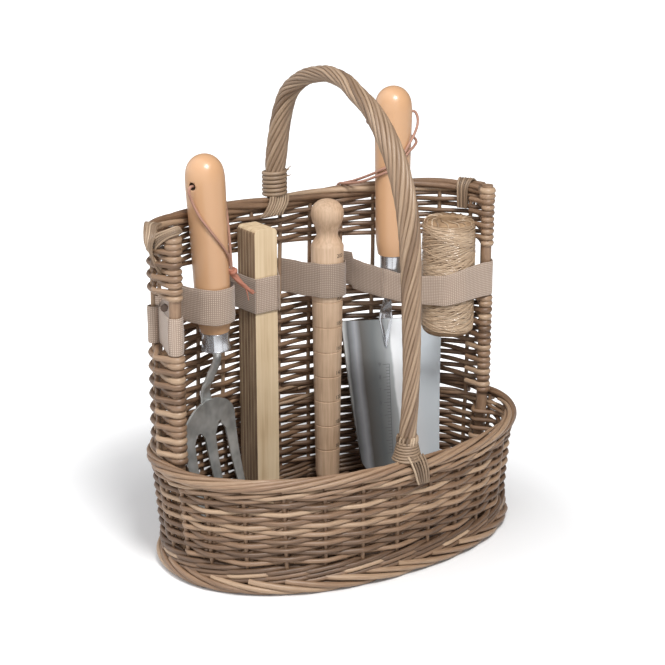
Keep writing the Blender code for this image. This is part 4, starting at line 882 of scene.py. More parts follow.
bow_points = []
for depth, share, thick in BACK_LEG_SHARES:
    bow_points.append((0, BACK_FOOT_Y * depth, RAIL_TOP + (HANDLE_APEX - RAIL_TOP) * share, thick))
for depth, share, thick in FRONT_LEG_SHARES:
    bow_points.append((0, -FRONT_FOOT_Y * depth, RIM_TOP + (HANDLE_APEX - RIM_TOP) * share, thick))
BOW, BOW_LENGTH = smooth_line(bow_points, 200)
bow_way = np.gradient(BOW[:, :3], axis=0)
bow_way /= np.linalg.norm(bow_way, axis=1)[:, None]
bow_side = np.cross(bow_way, np.array([1.0, 0, 0]))
bow_radius = BOW[:, 3] * HANDLE_THICKEST
# The core is painted darker than any rod: painted shade in the grooves between the rods.
handle_lines = [line(BOW[:, :3], bow_radius * HANDLE_CORE_SHARE, shade=-0.3)]
widths = rng.uniform(0.8, 1.2, HANDLE_RODS)
places = np.cumsum(widths) - widths / 2
for width, place in zip(widths, places):
    angle = 2 * np.pi * (place / widths.sum() + np.linspace(0, BOW_LENGTH / HANDLE_PITCH, len(BOW)))
    uneven = 1 + wander(len(BOW), 0.04, 6, closed=False)
    own = bow_radius * HANDLE_ROD_SHARE * (width / widths.mean()) * uneven
    reach = bow_radius - own
    spots = BOW[:, :3] + bow_side * (reach * np.sin(angle))[:, None]
    spots[:, 0] += reach * np.cos(angle)
    handle_lines.append(line(spots, own, shade=rng.uniform(0.25, 1.0)))
handle = rods("handle_rods", handle_lines, HANDLE_WILLOW, sides=10, unevenness=0.05)
place_piece(handle, "basket", "willow", "handle_bow")
print("bow length, mm:", round(BOW_LENGTH * 1000))

# %% [markdown]
# ## Bindings and lashings
# Fine rods are wound round the handle's feet and tied over the rail and the rim. A winding is one long
# helix; a lashing is a few strands side by side over the thing that they tie.

# %% Bindings


def winding(y, low, high, low_radius, high_radius, turns, thick):
    """One rod wound round an upright that stands at a depth y in the middle, from its bottom to its top."""
    part = np.linspace(0, 1, int(turns * 20))
    angle = 2 * np.pi * turns * part
    reach = low_radius + (high_radius - low_radius) * part**0.7 + thick
    spots = np.column_stack([reach * np.cos(angle), y + reach * np.sin(angle), low + (high - low) * part])
    return line(spots, thick, shade=rng.uniform(0.3, 0.8))


binding_lines = [
    winding(
        BACK_FOOT_Y, low=RAIL_TOP + 0.0012, high=0.2590, low_radius=0.0066, high_radius=0.0066, turns=6,
        thick=0.00155,
    ),
]
LOOSE_TIPS = ((-20, 0.010, 0.004), (10, 0.006, 0.006), (40, 0.008, 0.002), (-60, 0.005, 0.005))
for angle_deg, rise, out in LOOSE_TIPS:
    angle = math.radians(angle_deg)
    way = np.array([math.cos(angle), math.sin(angle), 0])
    foot_spot = np.array([0, BACK_FOOT_Y, 0.252]) + way * 0.0088
    tip_spot = foot_spot + way * out + [0, 0, rise]
    spots, _ = smooth_line([foot_spot, foot_spot + [0, 0, rise * 0.6], tip_spot], 8)
    binding_lines.append(line(spots, np.linspace(0.0008, 0.0003, 8)))
back_binding = rods("back_binding_rods", binding_lines, BINDING)
place_piece(back_binding, "basket", "binding_willow", "back_binding")

COLLAR_STRANDS = 16
front_lines = [
    winding(
        -FRONT_FOOT_Y, low=RIM_TOP + 0.0010, high=0.0990, low_radius=0.0094, high_radius=0.0056, turns=7,
        thick=0.00095,
    ),
]
for strand in range(COLLAR_STRANDS):
    angle = 2 * np.pi * (strand + rng.uniform(-0.2, 0.2)) / COLLAR_STRANDS
    reach = np.array([0.0063, 0.0069, 0.0070, 0.0066])
    turn_steps = angle + np.array([0, 0.05, 0.12, 0.2])
    heights = np.array([0.0962, 0.0990, 0.1012, 0.1030])
    spots = np.column_stack([reach * np.cos(turn_steps), -FRONT_FOOT_Y + reach * np.sin(turn_steps), heights])
    front_lines.append(line(smooth_line(spots, 8)[0], 0.0009))
front_binding = rods("front_binding_rods", front_lines, BINDING)
place_piece(front_binding, "basket", "binding_willow", "front_binding")
print("rods in the bindings:", len(binding_lines), len(front_lines))

# %% Lashings of the handle's feet


def strands(name, ways, thick, replaced):
    """Strands through the same number of given points each."""
    made = []
    for way in ways:
        spots, _ = smooth_line(way, 26)
        made.append(line(spots, thick * rng.uniform(0.85, 1.15)))
    place_piece(rods(name, made, BINDING), "basket", "binding_willow", replaced)


front_ways = []
for step in np.linspace(-1, 1, 6):
    front_ways.append([
        (0.006 * step + 0.001, -FRONT_FOOT_Y - 0.0085, 0.0905),
        (0.006 * step + 0.003, -FRONT_FOOT_Y - 0.0098, 0.0855),
        (0.0055 * step + 0.005, -FRONT_FOOT_Y - 0.0104, 0.0790),
        (0.0050 * step + 0.007, -FRONT_FOOT_Y - 0.0092, 0.0730),
        (0.0042 * step + 0.009, -FRONT_FOOT_Y - 0.0075, 0.0680),
    ])
strands("front_lashing_rods", front_ways, 0.00085, "front_lashing")
back_ways = []
for step in np.linspace(-1, 1, 8):
    back_ways.append([
        (0.0075 * step, BACK_FOOT_Y - 0.0068, 0.2410),
        (0.0078 * step - 0.001, BACK_FOOT_Y - 0.0075, 0.2370),
        (0.0080 * step - 0.003, BACK_FOOT_Y - 0.0078, 0.2330),
        (0.0080 * step - 0.005, BACK_FOOT_Y - 0.0072, 0.2295),
        (0.0095 * step - 0.007, BACK_FOOT_Y - 0.0062, 0.2265),
    ])
strands("back_lashing_rods", back_ways, 0.0009, "back_lashing")
print("strands over the rim and the rail:", len(front_ways), len(back_ways))

# %% Corner lashings
SADDLE_REACH = 0.0060
SADDLE_DROP = 0.016


def saddle_way(share, lean):
    """A strand over the rail, from the outer face of the weave to the inner one, moved along by a lean."""
    plan_point, outward = RAIL_PLAN.at(np.array([share]))
    point, out = plan_point[0], outward[0]
    along = np.array([-out[1], out[0]])
    top = RAIL_HEIGHT + rail_lift(point[0])
    marks = (
        (SADDLE_REACH, -SADDLE_DROP), (SADDLE_REACH * 1.1, -0.004), (0.0052, 0.0020), (0.0, 0.0058),
        (-0.0052, 0.0020), (-SADDLE_REACH * 1.05, -0.004), (-SADDLE_REACH, -SADDLE_DROP),
    )
    way = []
    for number, (offset, rise) in enumerate(marks):
        shift = lean * (number / (len(marks) - 1) - 0.5)
        way.append((*(point + out * offset + along * shift), top + rise))
    return way


left_ways = []
for step in np.linspace(0, 1, 9):
    spread = rng.uniform(-0.0006, 0.0006)
    left_ways.append([
        (-0.1330 + 0.002 * step, 0.0350 - 0.0170 * step, 0.2474 + 0.0020 * step),
        (-0.1385, 0.0260 - 0.0160 * step, 0.2488 + 0.0012 * step),
        (-0.1438 + spread, 0.0160 - 0.0130 * step, 0.2462),
        (-0.1466 + spread, 0.0100 - 0.0070 * step, 0.2400),
        (-0.1452, 0.0062 - 0.0020 * step, 0.2330 - 0.0020 * step),
        (-0.1410, 0.0040, 0.2262 - 0.0050 * step),
        (-0.1366, 0.0040, 0.2215 - 0.0060 * step),
    ])
for step in range(5):
    left_ways.append([
        (-0.1425, 0.0085, 0.2320 + 0.0020 * step),
        (-0.1432, 0.0015, 0.2390 + 0.0020 * step),
        (-0.1392, -0.0062, 0.2460 + 0.0013 * step),
        (-0.1328, -0.0086, 0.2484 + 0.0012 * step),
        (-0.1276, -0.0042, 0.2484),
        (-0.1262, 0.0030, 0.2450),
        (-0.1300, 0.0100, 0.2415),
    ])
strands("left_lashing_rods", left_ways, 0.00090, "left_lashing")
right_ways = [saddle_way(0.2165 + 0.0030 * step, 0.0012 * step) for step in range(-3, 3)]
strands("right_lashing_rods", right_ways, 0.00092, "right_lashing")
print("strands at the corners:", len(left_ways), len(right_ways))

# %% [markdown]
# ## The elastic band
# The band starts round the left post, passes inside two stakes and outside the next one, and comes in
# through the slot. From there it lies in front of the tools and behind three more stakes, and ends round
# the right post. So its middle line is a string pulled tight round discs: straight between them, and bent
# round each. The cloth is a thin closed strip along that line, with its weave made as bump from its own
# length and height.

# %% Band course
GAP = 0.0003
BAND_WIDTH = 0.0262
BAND_MIDDLE = 0.1766
BAND_THICKNESS = 0.0011
BAND_SKIN = GAP + 0.0007
BAND_START_DEG = 20
BAND_END_DEG = 60
MARKERS_CENTRE = Vector((-0.02971, 0.06052, 0))
DIBBER_CENTRE = Vector((0.03377, 0.06341, 0))
TROWEL_CENTRE = Vector((0.07942, 0.04349, 0))
TWINE_CENTRE = Vector((0.10841, 0.01082, 0))
FORK_AXIS_AT_BAND = Vector((-0.07238, 0.05227, 0))
MARKER_COUNT = 6
MARKER_THICKNESS = 0.0038
MARKER_WIDTH = 0.0190
MARKERS_DEPTH = MARKER_COUNT * MARKER_THICKNESS + (MARKER_COUNT - 1) * GAP
SLOT_STAKE_RADIUS = 0.0026
FORK_WOOD_AT_BAND = 0.01413
TROWEL_AT_BAND = 0.0096
DIBBER_RADIUS = 0.0125
TWINE_RADIUS = 0.0203


def slot_stake(number):
    """A stake's place half way up the slot."""
    spot = BACK.at(stake_share(number), BAND_MIDDLE)[0]
    return Vector((spot[0], spot[1], 0))


def band_discs():
    """What the band bends round, from left to right: centre, radius and side (1 where it is on the left)."""
    markers_front = MARKERS_CENTRE - Vector((0, MARKERS_DEPTH / 2, 0))
    half = Vector((MARKER_WIDTH / 2, 0, 0))
    behind = SLOT_STAKE_RADIUS + BAND_SKIN
    return (
        (POST_PLACES[0], POST_RADIUS + BAND_SKIN, -1),
        (slot_stake(-6), behind, 1),
        (slot_stake(-5), behind, 1),
        (slot_stake(-4), behind, -1),
        (FORK_AXIS_AT_BAND, FORK_WOOD_AT_BAND + BAND_SKIN, 1),
        (slot_stake(-2), behind, -1),
        (markers_front - half, BAND_SKIN, 1),
        (markers_front + half, BAND_SKIN, 1),
        (slot_stake(0), behind, -1),
        (DIBBER_CENTRE, DIBBER_RADIUS + BAND_SKIN, 1),
        (slot_stake(2), behind, -1),
        (TROWEL_CENTRE, TROWEL_AT_BAND + BAND_SKIN, 1),
        (TWINE_CENTRE, TWINE_RADIUS + BAND_SKIN, 1),
        (POST_PLACES[1], POST_RADIUS + BAND_SKIN, 1),
    )


def band_course():
    """The string pulled tight round the discs."""
    discs = band_discs()
    arrive = [math.radians(BAND_START_DEG)]
    leave = []
    for (first, first_radius, first_side), (second, second_radius, second_side) in zip(discs, discs[1:]):
        way = second - first
        offset = second_side * second_radius - first_side * first_radius
        heading = math.atan2(way.y, way.x) - math.asin(offset / way.length)
        leave.append(heading - first_side * math.pi / 2)
        arrive.append(heading - second_side * math.pi / 2)
    leave.append(math.radians(BAND_END_DEG))
    points = []
    for (centre, radius, side), start, end in zip(discs, arrive, leave):
        sweep = (end - start) * side % (2 * math.pi)
        steps = max(2, round(20 * sweep / math.pi))
        for step in range(steps + 1):
            angle = start + side * sweep * step / steps
            points.append((centre.x + radius * math.cos(angle), centre.y + radius * math.sin(angle)))
    return np.array(points)


band_line = band_course()
print("band course, mm:", round(np.linalg.norm(np.diff(band_line, axis=0), axis=1).sum() * 1000))

# %% Finished solids


def solid(name, points, faces, surface, place=None, sharp_deg=35):
    """A closed mesh in its own coordinates, kept as an attribute for its finish, then put in its place."""
    mesh = bpy.data.meshes.new(name)
    shell = bmesh.new()
    corners = [shell.verts.new(point) for point in points]
    for face in faces:
        if len(set(face)) > 2:
            shell.faces.new([corners[corner] for corner in dict.fromkeys(face)])
    bmesh.ops.remove_doubles(shell, verts=shell.verts, dist=1e-6)
    bmesh.ops.recalc_face_normals(shell, faces=shell.faces)
    shell.to_mesh(mesh)
    shell.free()
    own = np.empty(len(mesh.vertices) * 3, dtype=np.float32)
    mesh.vertices.foreach_get("co", own)
    mesh.attributes.new("local", "FLOAT_VECTOR", "POINT").data.foreach_set("vector", own)
    mesh.shade_smooth()
    mesh.set_sharp_from_angle(angle=math.radians(sharp_deg))
    mesh.materials.append(surface)
    if place is not None:
        mesh.transform(place)
    piece = bpy.data.objects.new(name, mesh)
    bpy.context.collection.objects.link(piece)
    return piece


def with_modifier(piece, kind, **options):
    """Runs one modifier on a piece and keeps the result as its plain mesh."""
    modifier = piece.modifiers.new(kind.title(), kind)
    for label, value in options.items():
        setattr(modifier, label, value)
    bpy.context.view_layer.update()
    graph = bpy.context.evaluated_depsgraph_get()
    mesh = bpy.data.meshes.new_from_object(piece.evaluated_get(graph))
    piece.modifiers.clear()
    piece.data = mesh
    return piece


def grid_faces(columns, rows, closed_columns=False):
    """Quads between the points of a grid, whose rows are columns long."""
    faces = []
    for row in range(rows - 1):
        for column in range(columns if closed_columns else columns - 1):
            right = (column + 1) % columns
            low = row * columns
            high = low + columns
            faces.append((low + column, low + right, high + right, high + column))
    return faces


def turned(name, profile, surface, sides, place=None):
    """A turned solid from (radius, height) points, from its top on the axis to its bottom on the axis."""
    angles = np.linspace(0, 2 * np.pi, sides, endpoint=False)
    rings = [np.column_stack([r * np.cos(angles), r * np.sin(angles), np.full(sides, z)]) for r, z in profile]
    faces = grid_faces(sides, len(profile), closed_columns=True)
    return solid(name, np.concatenate(rings).tolist(), faces, surface, place)


print("makers of solids are ready")


# %% Band cloth
WEBBING, tree, shader = finish("elastic", 0.75, Sheen_Weight=0.25)
cloth = node(tree, "ShaderNodeSeparateXYZ", Vector=attribute(tree, "local")["Vector"]).outputs
RIB_PITCH = 0.00140
WEFT_PITCH = 0.00140


def ridges(tree, place, pitch):
    """Rounded ridges at a pitch, from 0 to 1."""
    phase = math_node(tree, "MULTIPLY", place, 2 * math.pi / pitch)
    return math_node(tree, "MULTIPLY_ADD", math_node(tree, "SINE", phase), 0.5, 0.5)


ribs = ridges(tree, cloth["X"], RIB_PITCH)
wefts = ridges(tree, cloth["Z"], WEFT_PITCH)
weave_height = math_node(tree, "MULTIPLY_ADD", math_node(tree, "MULTIPLY", ribs, wefts), 0.8, 0.2)
# The cloth's colour follows its weave height, darker in the hollows: painted shade.
cloth_colour_with_groove_shade = ramp(
    tree, weave_height,
    (0.2, (0.28, 0.205, 0.155)), (0.6, (0.46, 0.355, 0.28)), (1.0, (0.58, 0.465, 0.375)),
)
tree.links.new(cloth_colour_with_groove_shade, shader.inputs["Base Color"])
bump(tree, shader, weave_height, 0.0003, 0.7)


BAND_DIP = 0.0066
BAND_DIP_LENGTH = 0.0220
BAND_PINCH_SHARE = 0.16
BAND_STATIONS = 430


def strip_shell(course):
    """A flat strip along a line: points, faces, and each point's length, depth and height on the cloth."""
    way = np.gradient(course, axis=0)
    way /= np.linalg.norm(way, axis=1)[:, None]
    out = np.stack([way[:, 1], -way[:, 0]], axis=1)
    along = np.concatenate([[0], np.cumsum(np.linalg.norm(np.diff(course, axis=0), axis=1))])
    half = BAND_WIDTH / 2
    deep = BAND_THICKNESS / 2
    levels = np.linspace(-half, half, 13)
    section = [(deep * min(1, (half - abs(level)) / deep + 0.45), level) for level in levels]
    section += [(-depth, level) for depth, level in reversed(section)]
    points = []
    own = []
    ripple = 0.00025 * np.sin(along * 310) + 0.0002 * np.sin(along * 173 + 1)
    sag = np.exp(-(((course[:, 0] - TROWEL_CENTRE.x) / BAND_DIP_LENGTH) ** 2)) * (course[:, 1] < 0.07)
    for spot, side, length, wave, low in zip(course, out, along, ripple, sag):
        for depth, level in section:
            curl = wave * level / half
            height = BAND_MIDDLE - BAND_DIP * low + level * (1 - BAND_PINCH_SHARE * low) + wave * 0.6
            points.append((*(spot + side * (depth + abs(curl))), height))
            own.append((length, depth, level))
    faces = grid_faces(len(section), len(course), closed_columns=True)
    last = (len(course) - 1) * len(section)
    faces += [tuple(range(len(section)))[::-1], tuple(range(last, last + len(section)))]
    return points, faces, own


def fine_course(points, count):
    """A course with its bends softened, at even steps."""
    flat, _ = smooth_line(np.column_stack([points, np.zeros(len(points))]), count)
    return flat[:, :2]


points, faces, cloth_places = strip_shell(fine_course(band_line, BAND_STATIONS))
band = solid("band_cloth", points, faces, WEBBING, sharp_deg=50)
own = np.array(cloth_places, dtype=np.float32).ravel()
band.data.attributes["local"].data.foreach_set("vector", own)
place_piece(band, "basket", "elastic", "elastic_band")
print("band faces:", len(band.data.polygons))

# %% [markdown]
# ## Wooden tools
# Turned and sawn wood has its grain along the piece. Each piece keeps its own coordinates as an attribute,
# so the grain leans with a leaning tool.

# %% Wood finishes


def board_finish(name, stops, roughness, across, along, blotches, depth, **shader_values):
    """The finish of a turned or sawn piece, whose grain runs along its own Z."""
    surface, tree, shader = finish(name, roughness, **shader_values)
    grain = node(
        tree, "ShaderNodeGroup", {"node_tree": GRAIN},
        Place=attribute(tree, "local")["Vector"], Across=across, Along=along, Blotches=blotches,
    ).outputs
    soft = math_node(tree, "MULTIPLY", grain["Patches"], 0.4)
    mixed = math_node(tree, "MULTIPLY_ADD", grain["Streaks"], 0.5, soft)
    tree.links.new(ramp(tree, mixed, *stops), shader.inputs["Base Color"])
    bump(tree, shader, grain["Height"], depth)
    return surface


BEECH = board_finish(
    "beech",
    ((0.0, (0.43, 0.225, 0.110)), (0.5, (0.56, 0.325, 0.175)), (1.0, (0.66, 0.42, 0.245))),
    0.34, across=420.0, along=22.0, blotches=30.0, depth=0.00004, Coat_Weight=0.35, Coat_Roughness=0.22,
)
PALE_BEECH = board_finish(
    "dibber_beech",
    ((0.0, (0.44, 0.285, 0.175)), (0.5, (0.62, 0.43, 0.285)), (1.0, (0.74, 0.55, 0.385))),
    0.55, across=520.0, along=26.0, blotches=30.0, depth=0.00005,
)
PINE = board_finish(
    "pine",
    ((0.0, (0.40, 0.265, 0.145)), (0.35, (0.58, 0.435, 0.27)), (1.0, (0.74, 0.60, 0.41))),
    0.6, across=260.0, along=7.0, blotches=20.0, depth=0.00008,
)
# The edges' finish is darker than the faces': partly sawn wood, partly painted shade on the sides.
SHADED_PINE_EDGE = board_finish(
    "pine_edge_painted_shade",
    ((0.0, (0.13, 0.075, 0.04)), (0.5, (0.26, 0.165, 0.095)), (1.0, (0.50, 0.35, 0.22))),
    0.7, across=520.0, along=14.0, blotches=26.0, depth=0.00012,
)
# The hole's walls are near black: somewhat darker end grain, and mostly painted shade inside the hole.
DRILL_HOLE_SHADE = board_finish(
    "drilled_wood_painted_shade",
    ((0.0, (0.05, 0.025, 0.012)), (1.0, (0.12, 0.065, 0.03))),
    0.8, across=300.0, along=20.0, blotches=20.0, depth=0.0001,
)
INK, _, ink_shader = finish("ink", 0.6)
ink_shader.inputs["Base Color"].default_value = (0.035, 0.028, 0.022, 1)
print("wood finishes:", BEECH.name, PALE_BEECH.name, PINE.name)

# %% Handles of the fork and the trowel
FORK_PLACE = Matrix((
    (0.93761, -0.34259, -0.05929, -0.07027),
    (0.34195, 0.93949, -0.02094, 0.05302),
    (0.06288, -0.00064, 0.99802, 0.14100),
    (0, 0, 0, 1),
))
TROWEL_PLACE = Matrix((
    (0.95106, 0.30902, 0, 0.07942),
    (-0.30902, 0.95106, 0, 0.04349),
    (0, 0, 1, 0.17800),
    (0, 0, 0, 1),
))
FERRULE_LENGTH = 0.0140
HOLE_SHARE = 0.845
HOLE_RADIUS = 0.0028
BIT_REACH = 0.03
# Turned wood: height share from the top down, radius share
WOOD_SHARES = (
    (0.000, 0.00), (0.006, 0.30), (0.024, 0.60), (0.060, 0.86), (0.110, 0.98), (0.180, 1.00),
    (0.400, 0.96), (0.640, 0.93), (0.820, 0.91), (0.930, 0.86), (1.000, 0.76),
)


def wooden_handle(name, place, length, radius):
    """A turned handle with a hole drilled across its top."""
    low = FERRULE_LENGTH + GAP
    outline = [(radius * thick, 0, low + length * (1 - share)) for share, thick in WOOD_SHARES]
    outline, _ = smooth_line(outline, 70)
    outline[:, 0] = np.clip(outline[:, 0], 0, radius)
    profile = [(r, z) for r, _, z in outline] + [(0, low)]
    profile[0] = (0, profile[0][1])
    handle = turned(name, profile, BEECH, 64)
    handle.data.materials.append(DRILL_HOLE_SHADE)
    bit_profile = [(0, BIT_REACH), (HOLE_RADIUS, BIT_REACH), (HOLE_RADIUS, -BIT_REACH), (0, -BIT_REACH)]
    aim = Matrix.Translation((0, 0, low + length * HOLE_SHARE)) @ Matrix.Rotation(math.pi / 2, 4, "Y")
    bit = turned(name + "_bit", bit_profile, DRILL_HOLE_SHADE, 32, aim)
    with_modifier(handle, "BOOLEAN", operation="DIFFERENCE", object=bit, solver="EXACT")
    bpy.data.objects.remove(bit)
    handle.data.transform(place)
    return handle


FORK_WOOD = (FORK_PLACE, 0.1310, 0.0142)  # place, length, radius
TROWEL_WOOD = (TROWEL_PLACE, 0.1280, 0.0140)
fork_handle = wooden_handle("fork_wood", *FORK_WOOD)
place_piece(fork_handle, "fork", "beech", "fork_handle")
trowel_handle = wooden_handle("trowel_wood", *TROWEL_WOOD)
place_piece(trowel_handle, "trowel", "beech", "trowel_handle")
print("handle faces:", len(fork_handle.data.polygons))

# %% [markdown]
# A dibber makes holes for seeds. It is one turned piece: a knob for the palm, a tapered body with a ring
# scored at each step of depth, and a round tip.

# %% Dibber
DIBBER_TIP_RADIUS = 0.0093
DIBBER_TOP = 0.2370
DIBBER_SHOULDER = 0.2010
DIBBER_FOOT = FOOT_LEVEL
DIBBER_TIP = DIBBER_FOOT + 0.0110
GROOVE_TOP = 0.1587
GROOVE_PITCH = 0.0200
GROOVES = 7
GROOVE_DEPTH = 0.0006
GROOVE_HALF_WIDTH = 0.0006
TIP_STEPS = 12
# Dibber head: height share from top to shoulder, radius share
DIBBER_HEAD_SHARES = (
    (0.00, 0.00), (0.02, 0.36), (0.08, 0.68), (0.18, 0.92), (0.30, 1.00), (0.44, 0.94), (0.58, 0.78),
    (0.70, 0.67), (0.80, 0.68), (0.90, 0.86), (1.00, 1.00),
)


def dibber_radius(height):
    """The radius of the tapered part, whose rings are scored in it."""
    share = (height - DIBBER_TIP) / (DIBBER_SHOULDER - DIBBER_TIP)
    return DIBBER_TIP_RADIUS + (DIBBER_RADIUS - DIBBER_TIP_RADIUS) * min(1, share)


head_height = DIBBER_TOP - DIBBER_SHOULDER
head = [(DIBBER_RADIUS * thick, 0, DIBBER_TOP - head_height * share) for share, thick in DIBBER_HEAD_SHARES]
head, _ = smooth_line(head, 44)
profile = [(min(max(r, 0), DIBBER_RADIUS), z) for r, _, z in head]
profile[0] = (0, profile[0][1])
for number in range(GROOVES):
    height = GROOVE_TOP - number * GROOVE_PITCH
    for offset, deep in ((3.0, 0), (1.0, 0), (0.5, 0.9), (0, 1), (-0.5, 0.9), (-1.0, 0), (-3.0, 0)):
        level = height + offset * GROOVE_HALF_WIDTH
        profile.append((dibber_radius(level) - GROOVE_DEPTH * deep, level))
for step in range(TIP_STEPS + 1):
    angle = math.pi / 2 * step / TIP_STEPS
    level = DIBBER_TIP - (DIBBER_TIP - DIBBER_FOOT) * math.sin(angle)
    profile.append((DIBBER_TIP_RADIUS * math.cos(angle), level))
dibber = turned("dibber_wood", profile, PALE_BEECH, 64, Matrix.Translation(DIBBER_CENTRE))
place_piece(dibber, "dibber_body", "beech", "dibber")
print("dibber faces:", len(dibber.data.polygons))

# %% [markdown]
# A plain number over each ring says how deep the hole is. The numbers are text, bent round the wood.

# %% Numbers of the dibber


def figures(name, items, size, surface, fit):
    """Plain numbers as one mesh. Items are (text, place across, height); fit puts each point on the piece."""
    points = []
    faces = []
    for text, across, height in items:
        curve = bpy.data.curves.new(name, "FONT")
        curve.body = text
        curve.size = size
        curve.align_x = "CENTER"
        curve.align_y = "CENTER"
        writer = bpy.data.objects.new(name + "_text", curve)
        bpy.context.collection.objects.link(writer)
        bpy.context.view_layer.update()
        flat = bpy.data.meshes.new_from_object(writer.evaluated_get(bpy.context.evaluated_depsgraph_get()))
        bpy.data.objects.remove(writer)
        start = len(points)
        points += [fit(across + corner.co.x, height + corner.co.y) for corner in flat.vertices]
        faces += [[start + corner for corner in face.vertices] for face in flat.polygons]
    mesh = bpy.data.meshes.new(name)
    mesh.from_pydata(points, [], faces)
    mesh.materials.append(surface)
    piece = bpy.data.objects.new(name, mesh)
    bpy.context.collection.objects.link(piece)
    return piece


FIGURE_LIFT = 0.00008
NUMBER_SIZE = 0.0042
NUMBER_ACROSS = 0.0035
NUMBER_RISE = 0.0032
TOP_NUMBER_HEIGHT = 0.1950


def on_dibber(across, height):
    """A point on the dibber's front, from its distance round it and its height."""
    reach = dibber_radius(height) + FIGURE_LIFT
    angle = across / dibber_radius(height)
    return (DIBBER_CENTRE.x + reach * math.sin(angle), DIBBER_CENTRE.y - reach * math.cos(angle), height)


numbers = []
for number in range(GROOVES):
    height = GROOVE_TOP - number * GROOVE_PITCH + NUMBER_RISE
    numbers.append((str(200 - 20 * number), NUMBER_ACROSS, height))
numbers.append(("200", NUMBER_ACROSS, TOP_NUMBER_HEIGHT))
dibber_marks = figures("dibber_numbers", numbers, NUMBER_SIZE, INK, on_dibber)
place_piece(dibber_marks, "dibber_body", "beech")
print("dibber numbers:", len(numbers))

# %% [markdown]
# The row markers are flat strips of pine, with rounded tops and pointed feet. Six stand in a bundle, each
# with its own stretch of grain.

# %% Row markers
GRAIN_STEP = 0.05
MARKER_TOP = 0.2255
MARKER_FOOT = FOOT_LEVEL
MARKER_CORNER = 0.0040
MARKER_POINT = 0.0210
MARKER_TIP = 0.0035  # half the width that the point is cut off at
EDGE_ROUND = 0.00015
MARKER_FIT = 0.0001
CORNER_STEPS = 6
SIDE_FACING = 0.8  # a face that looks sideways by more than this has the edge's finish, darker partly as sawn wood and partly as painted shade


def marker_outline(inset):
    """A marker's outline from its point up to its rounded top, drawn in by an inset."""
    half = MARKER_WIDTH / 2 - inset
    right = [(MARKER_TIP - inset * 0.5, MARKER_FOOT + inset), (half, MARKER_FOOT + MARKER_POINT)]
    for step in range(CORNER_STEPS + 1):
        angle = math.pi / 2 * step / CORNER_STEPS
        reach = MARKER_CORNER - inset
        top = MARKER_TOP - inset - reach * (1 - math.sin(angle))
        right.append((half - reach * (1 - math.cos(angle)), top))
    return right + [(-x, z) for x, z in reversed(right)]


for number in range(MARKER_COUNT):
    half = MARKER_THICKNESS / 2 + MARKER_FIT
    rings = [(EDGE_ROUND, -half), (0, -half + EDGE_ROUND), (0, half - EDGE_ROUND), (EDGE_ROUND, half)]
    outline_points = []
    for inset, depth in rings:
        outline_points += [(x, depth, z) for x, z in marker_outline(inset)]
    count = len(marker_outline(0))
    faces = grid_faces(count, len(rings), closed_columns=True)
    faces += [tuple(range(count)), tuple(range(3 * count, 4 * count))]
    shift = (number - (MARKER_COUNT - 1) / 2) * (MARKER_THICKNESS + GAP)
    marker = solid(f"marker_{number + 1}_wood", outline_points, faces, PINE, sharp_deg=28)
    own = np.empty(len(marker.data.vertices) * 3, dtype=np.float32)
    marker.data.attributes["local"].data.foreach_get("vector", own)
    own[1::3] += GRAIN_STEP * number
    marker.data.attributes["local"].data.foreach_set("vector", own)
    marker.data.materials.append(SHADED_PINE_EDGE)
    # Sideways faces get the darker edge finish, which holds painted shade.
    for face in marker.data.polygons:
        face.material_index = 1 if abs(face.normal.x) > SIDE_FACING else 0
    marker.data.transform(Matrix.Translation(MARKERS_CENTRE + Vector((0, shift, 0))))
    place_piece(marker, f"marker_{number + 1}", "pine", f"row_marker_{number + 1}")
print("row markers:", MARKER_COUNT)

# %% [markdown]
# ## Steel
# The ferrules, necks and heads are polished steel. Polish is never even: fine scratches run along the
# piece, and shallow dents bend the reflections. The long lamps of a photo studio stand in the blade as
# upright bands; the studio isn't modelled, so the bands are painted reflections: soft tints across the
# blade, with a near-white painted highlight down its middle.

# %% Steel finish
POLISH, polish_in, polish_out = group(
    "polish",
    "ShaderNodeTree",
    (("Place", "NodeSocketVector", None),),
    (("Patches", "NodeSocketFloat"), ("Roughness", "NodeSocketFloat"), ("Height", "NodeSocketFloat")),
)
grain = node(
    POLISH, "ShaderNodeGroup", {"node_tree": GRAIN},
    Place=polish_in["Place"], Across=900.0, Along=50.0, Blotches=70.0,
).outputs
dents = node(POLISH, "ShaderNodeTexNoise", Vector=polish_in["Place"], Scale=32.0, Detail=0.0).outputs[0]
scratched = node(POLISH, "ShaderNodeMapRange", Value=grain["Streaks"], To_Min=0.16, To_Max=0.26).outputs[0]
POLISH.links.new(grain["Patches"], polish_out["Patches"])
POLISH.links.new(scratched, polish_out["Roughness"])
POLISH.links.new(dents, polish_out["Height"])


# Painted reflections: where the blade's tint bands lie, standing for lamps mirrored in the steel.
REFLECTION_BAND_LEAN = 0.08  # sideways for each metre down the blade
REFLECTION_BAND_MIDDLE_SHARE = 0.485
REFLECTION_BAND_RAGGED_SHARE = 0.012
POLISH_DEPTH = 0.0006
POLISH_STRENGTH = 0.2


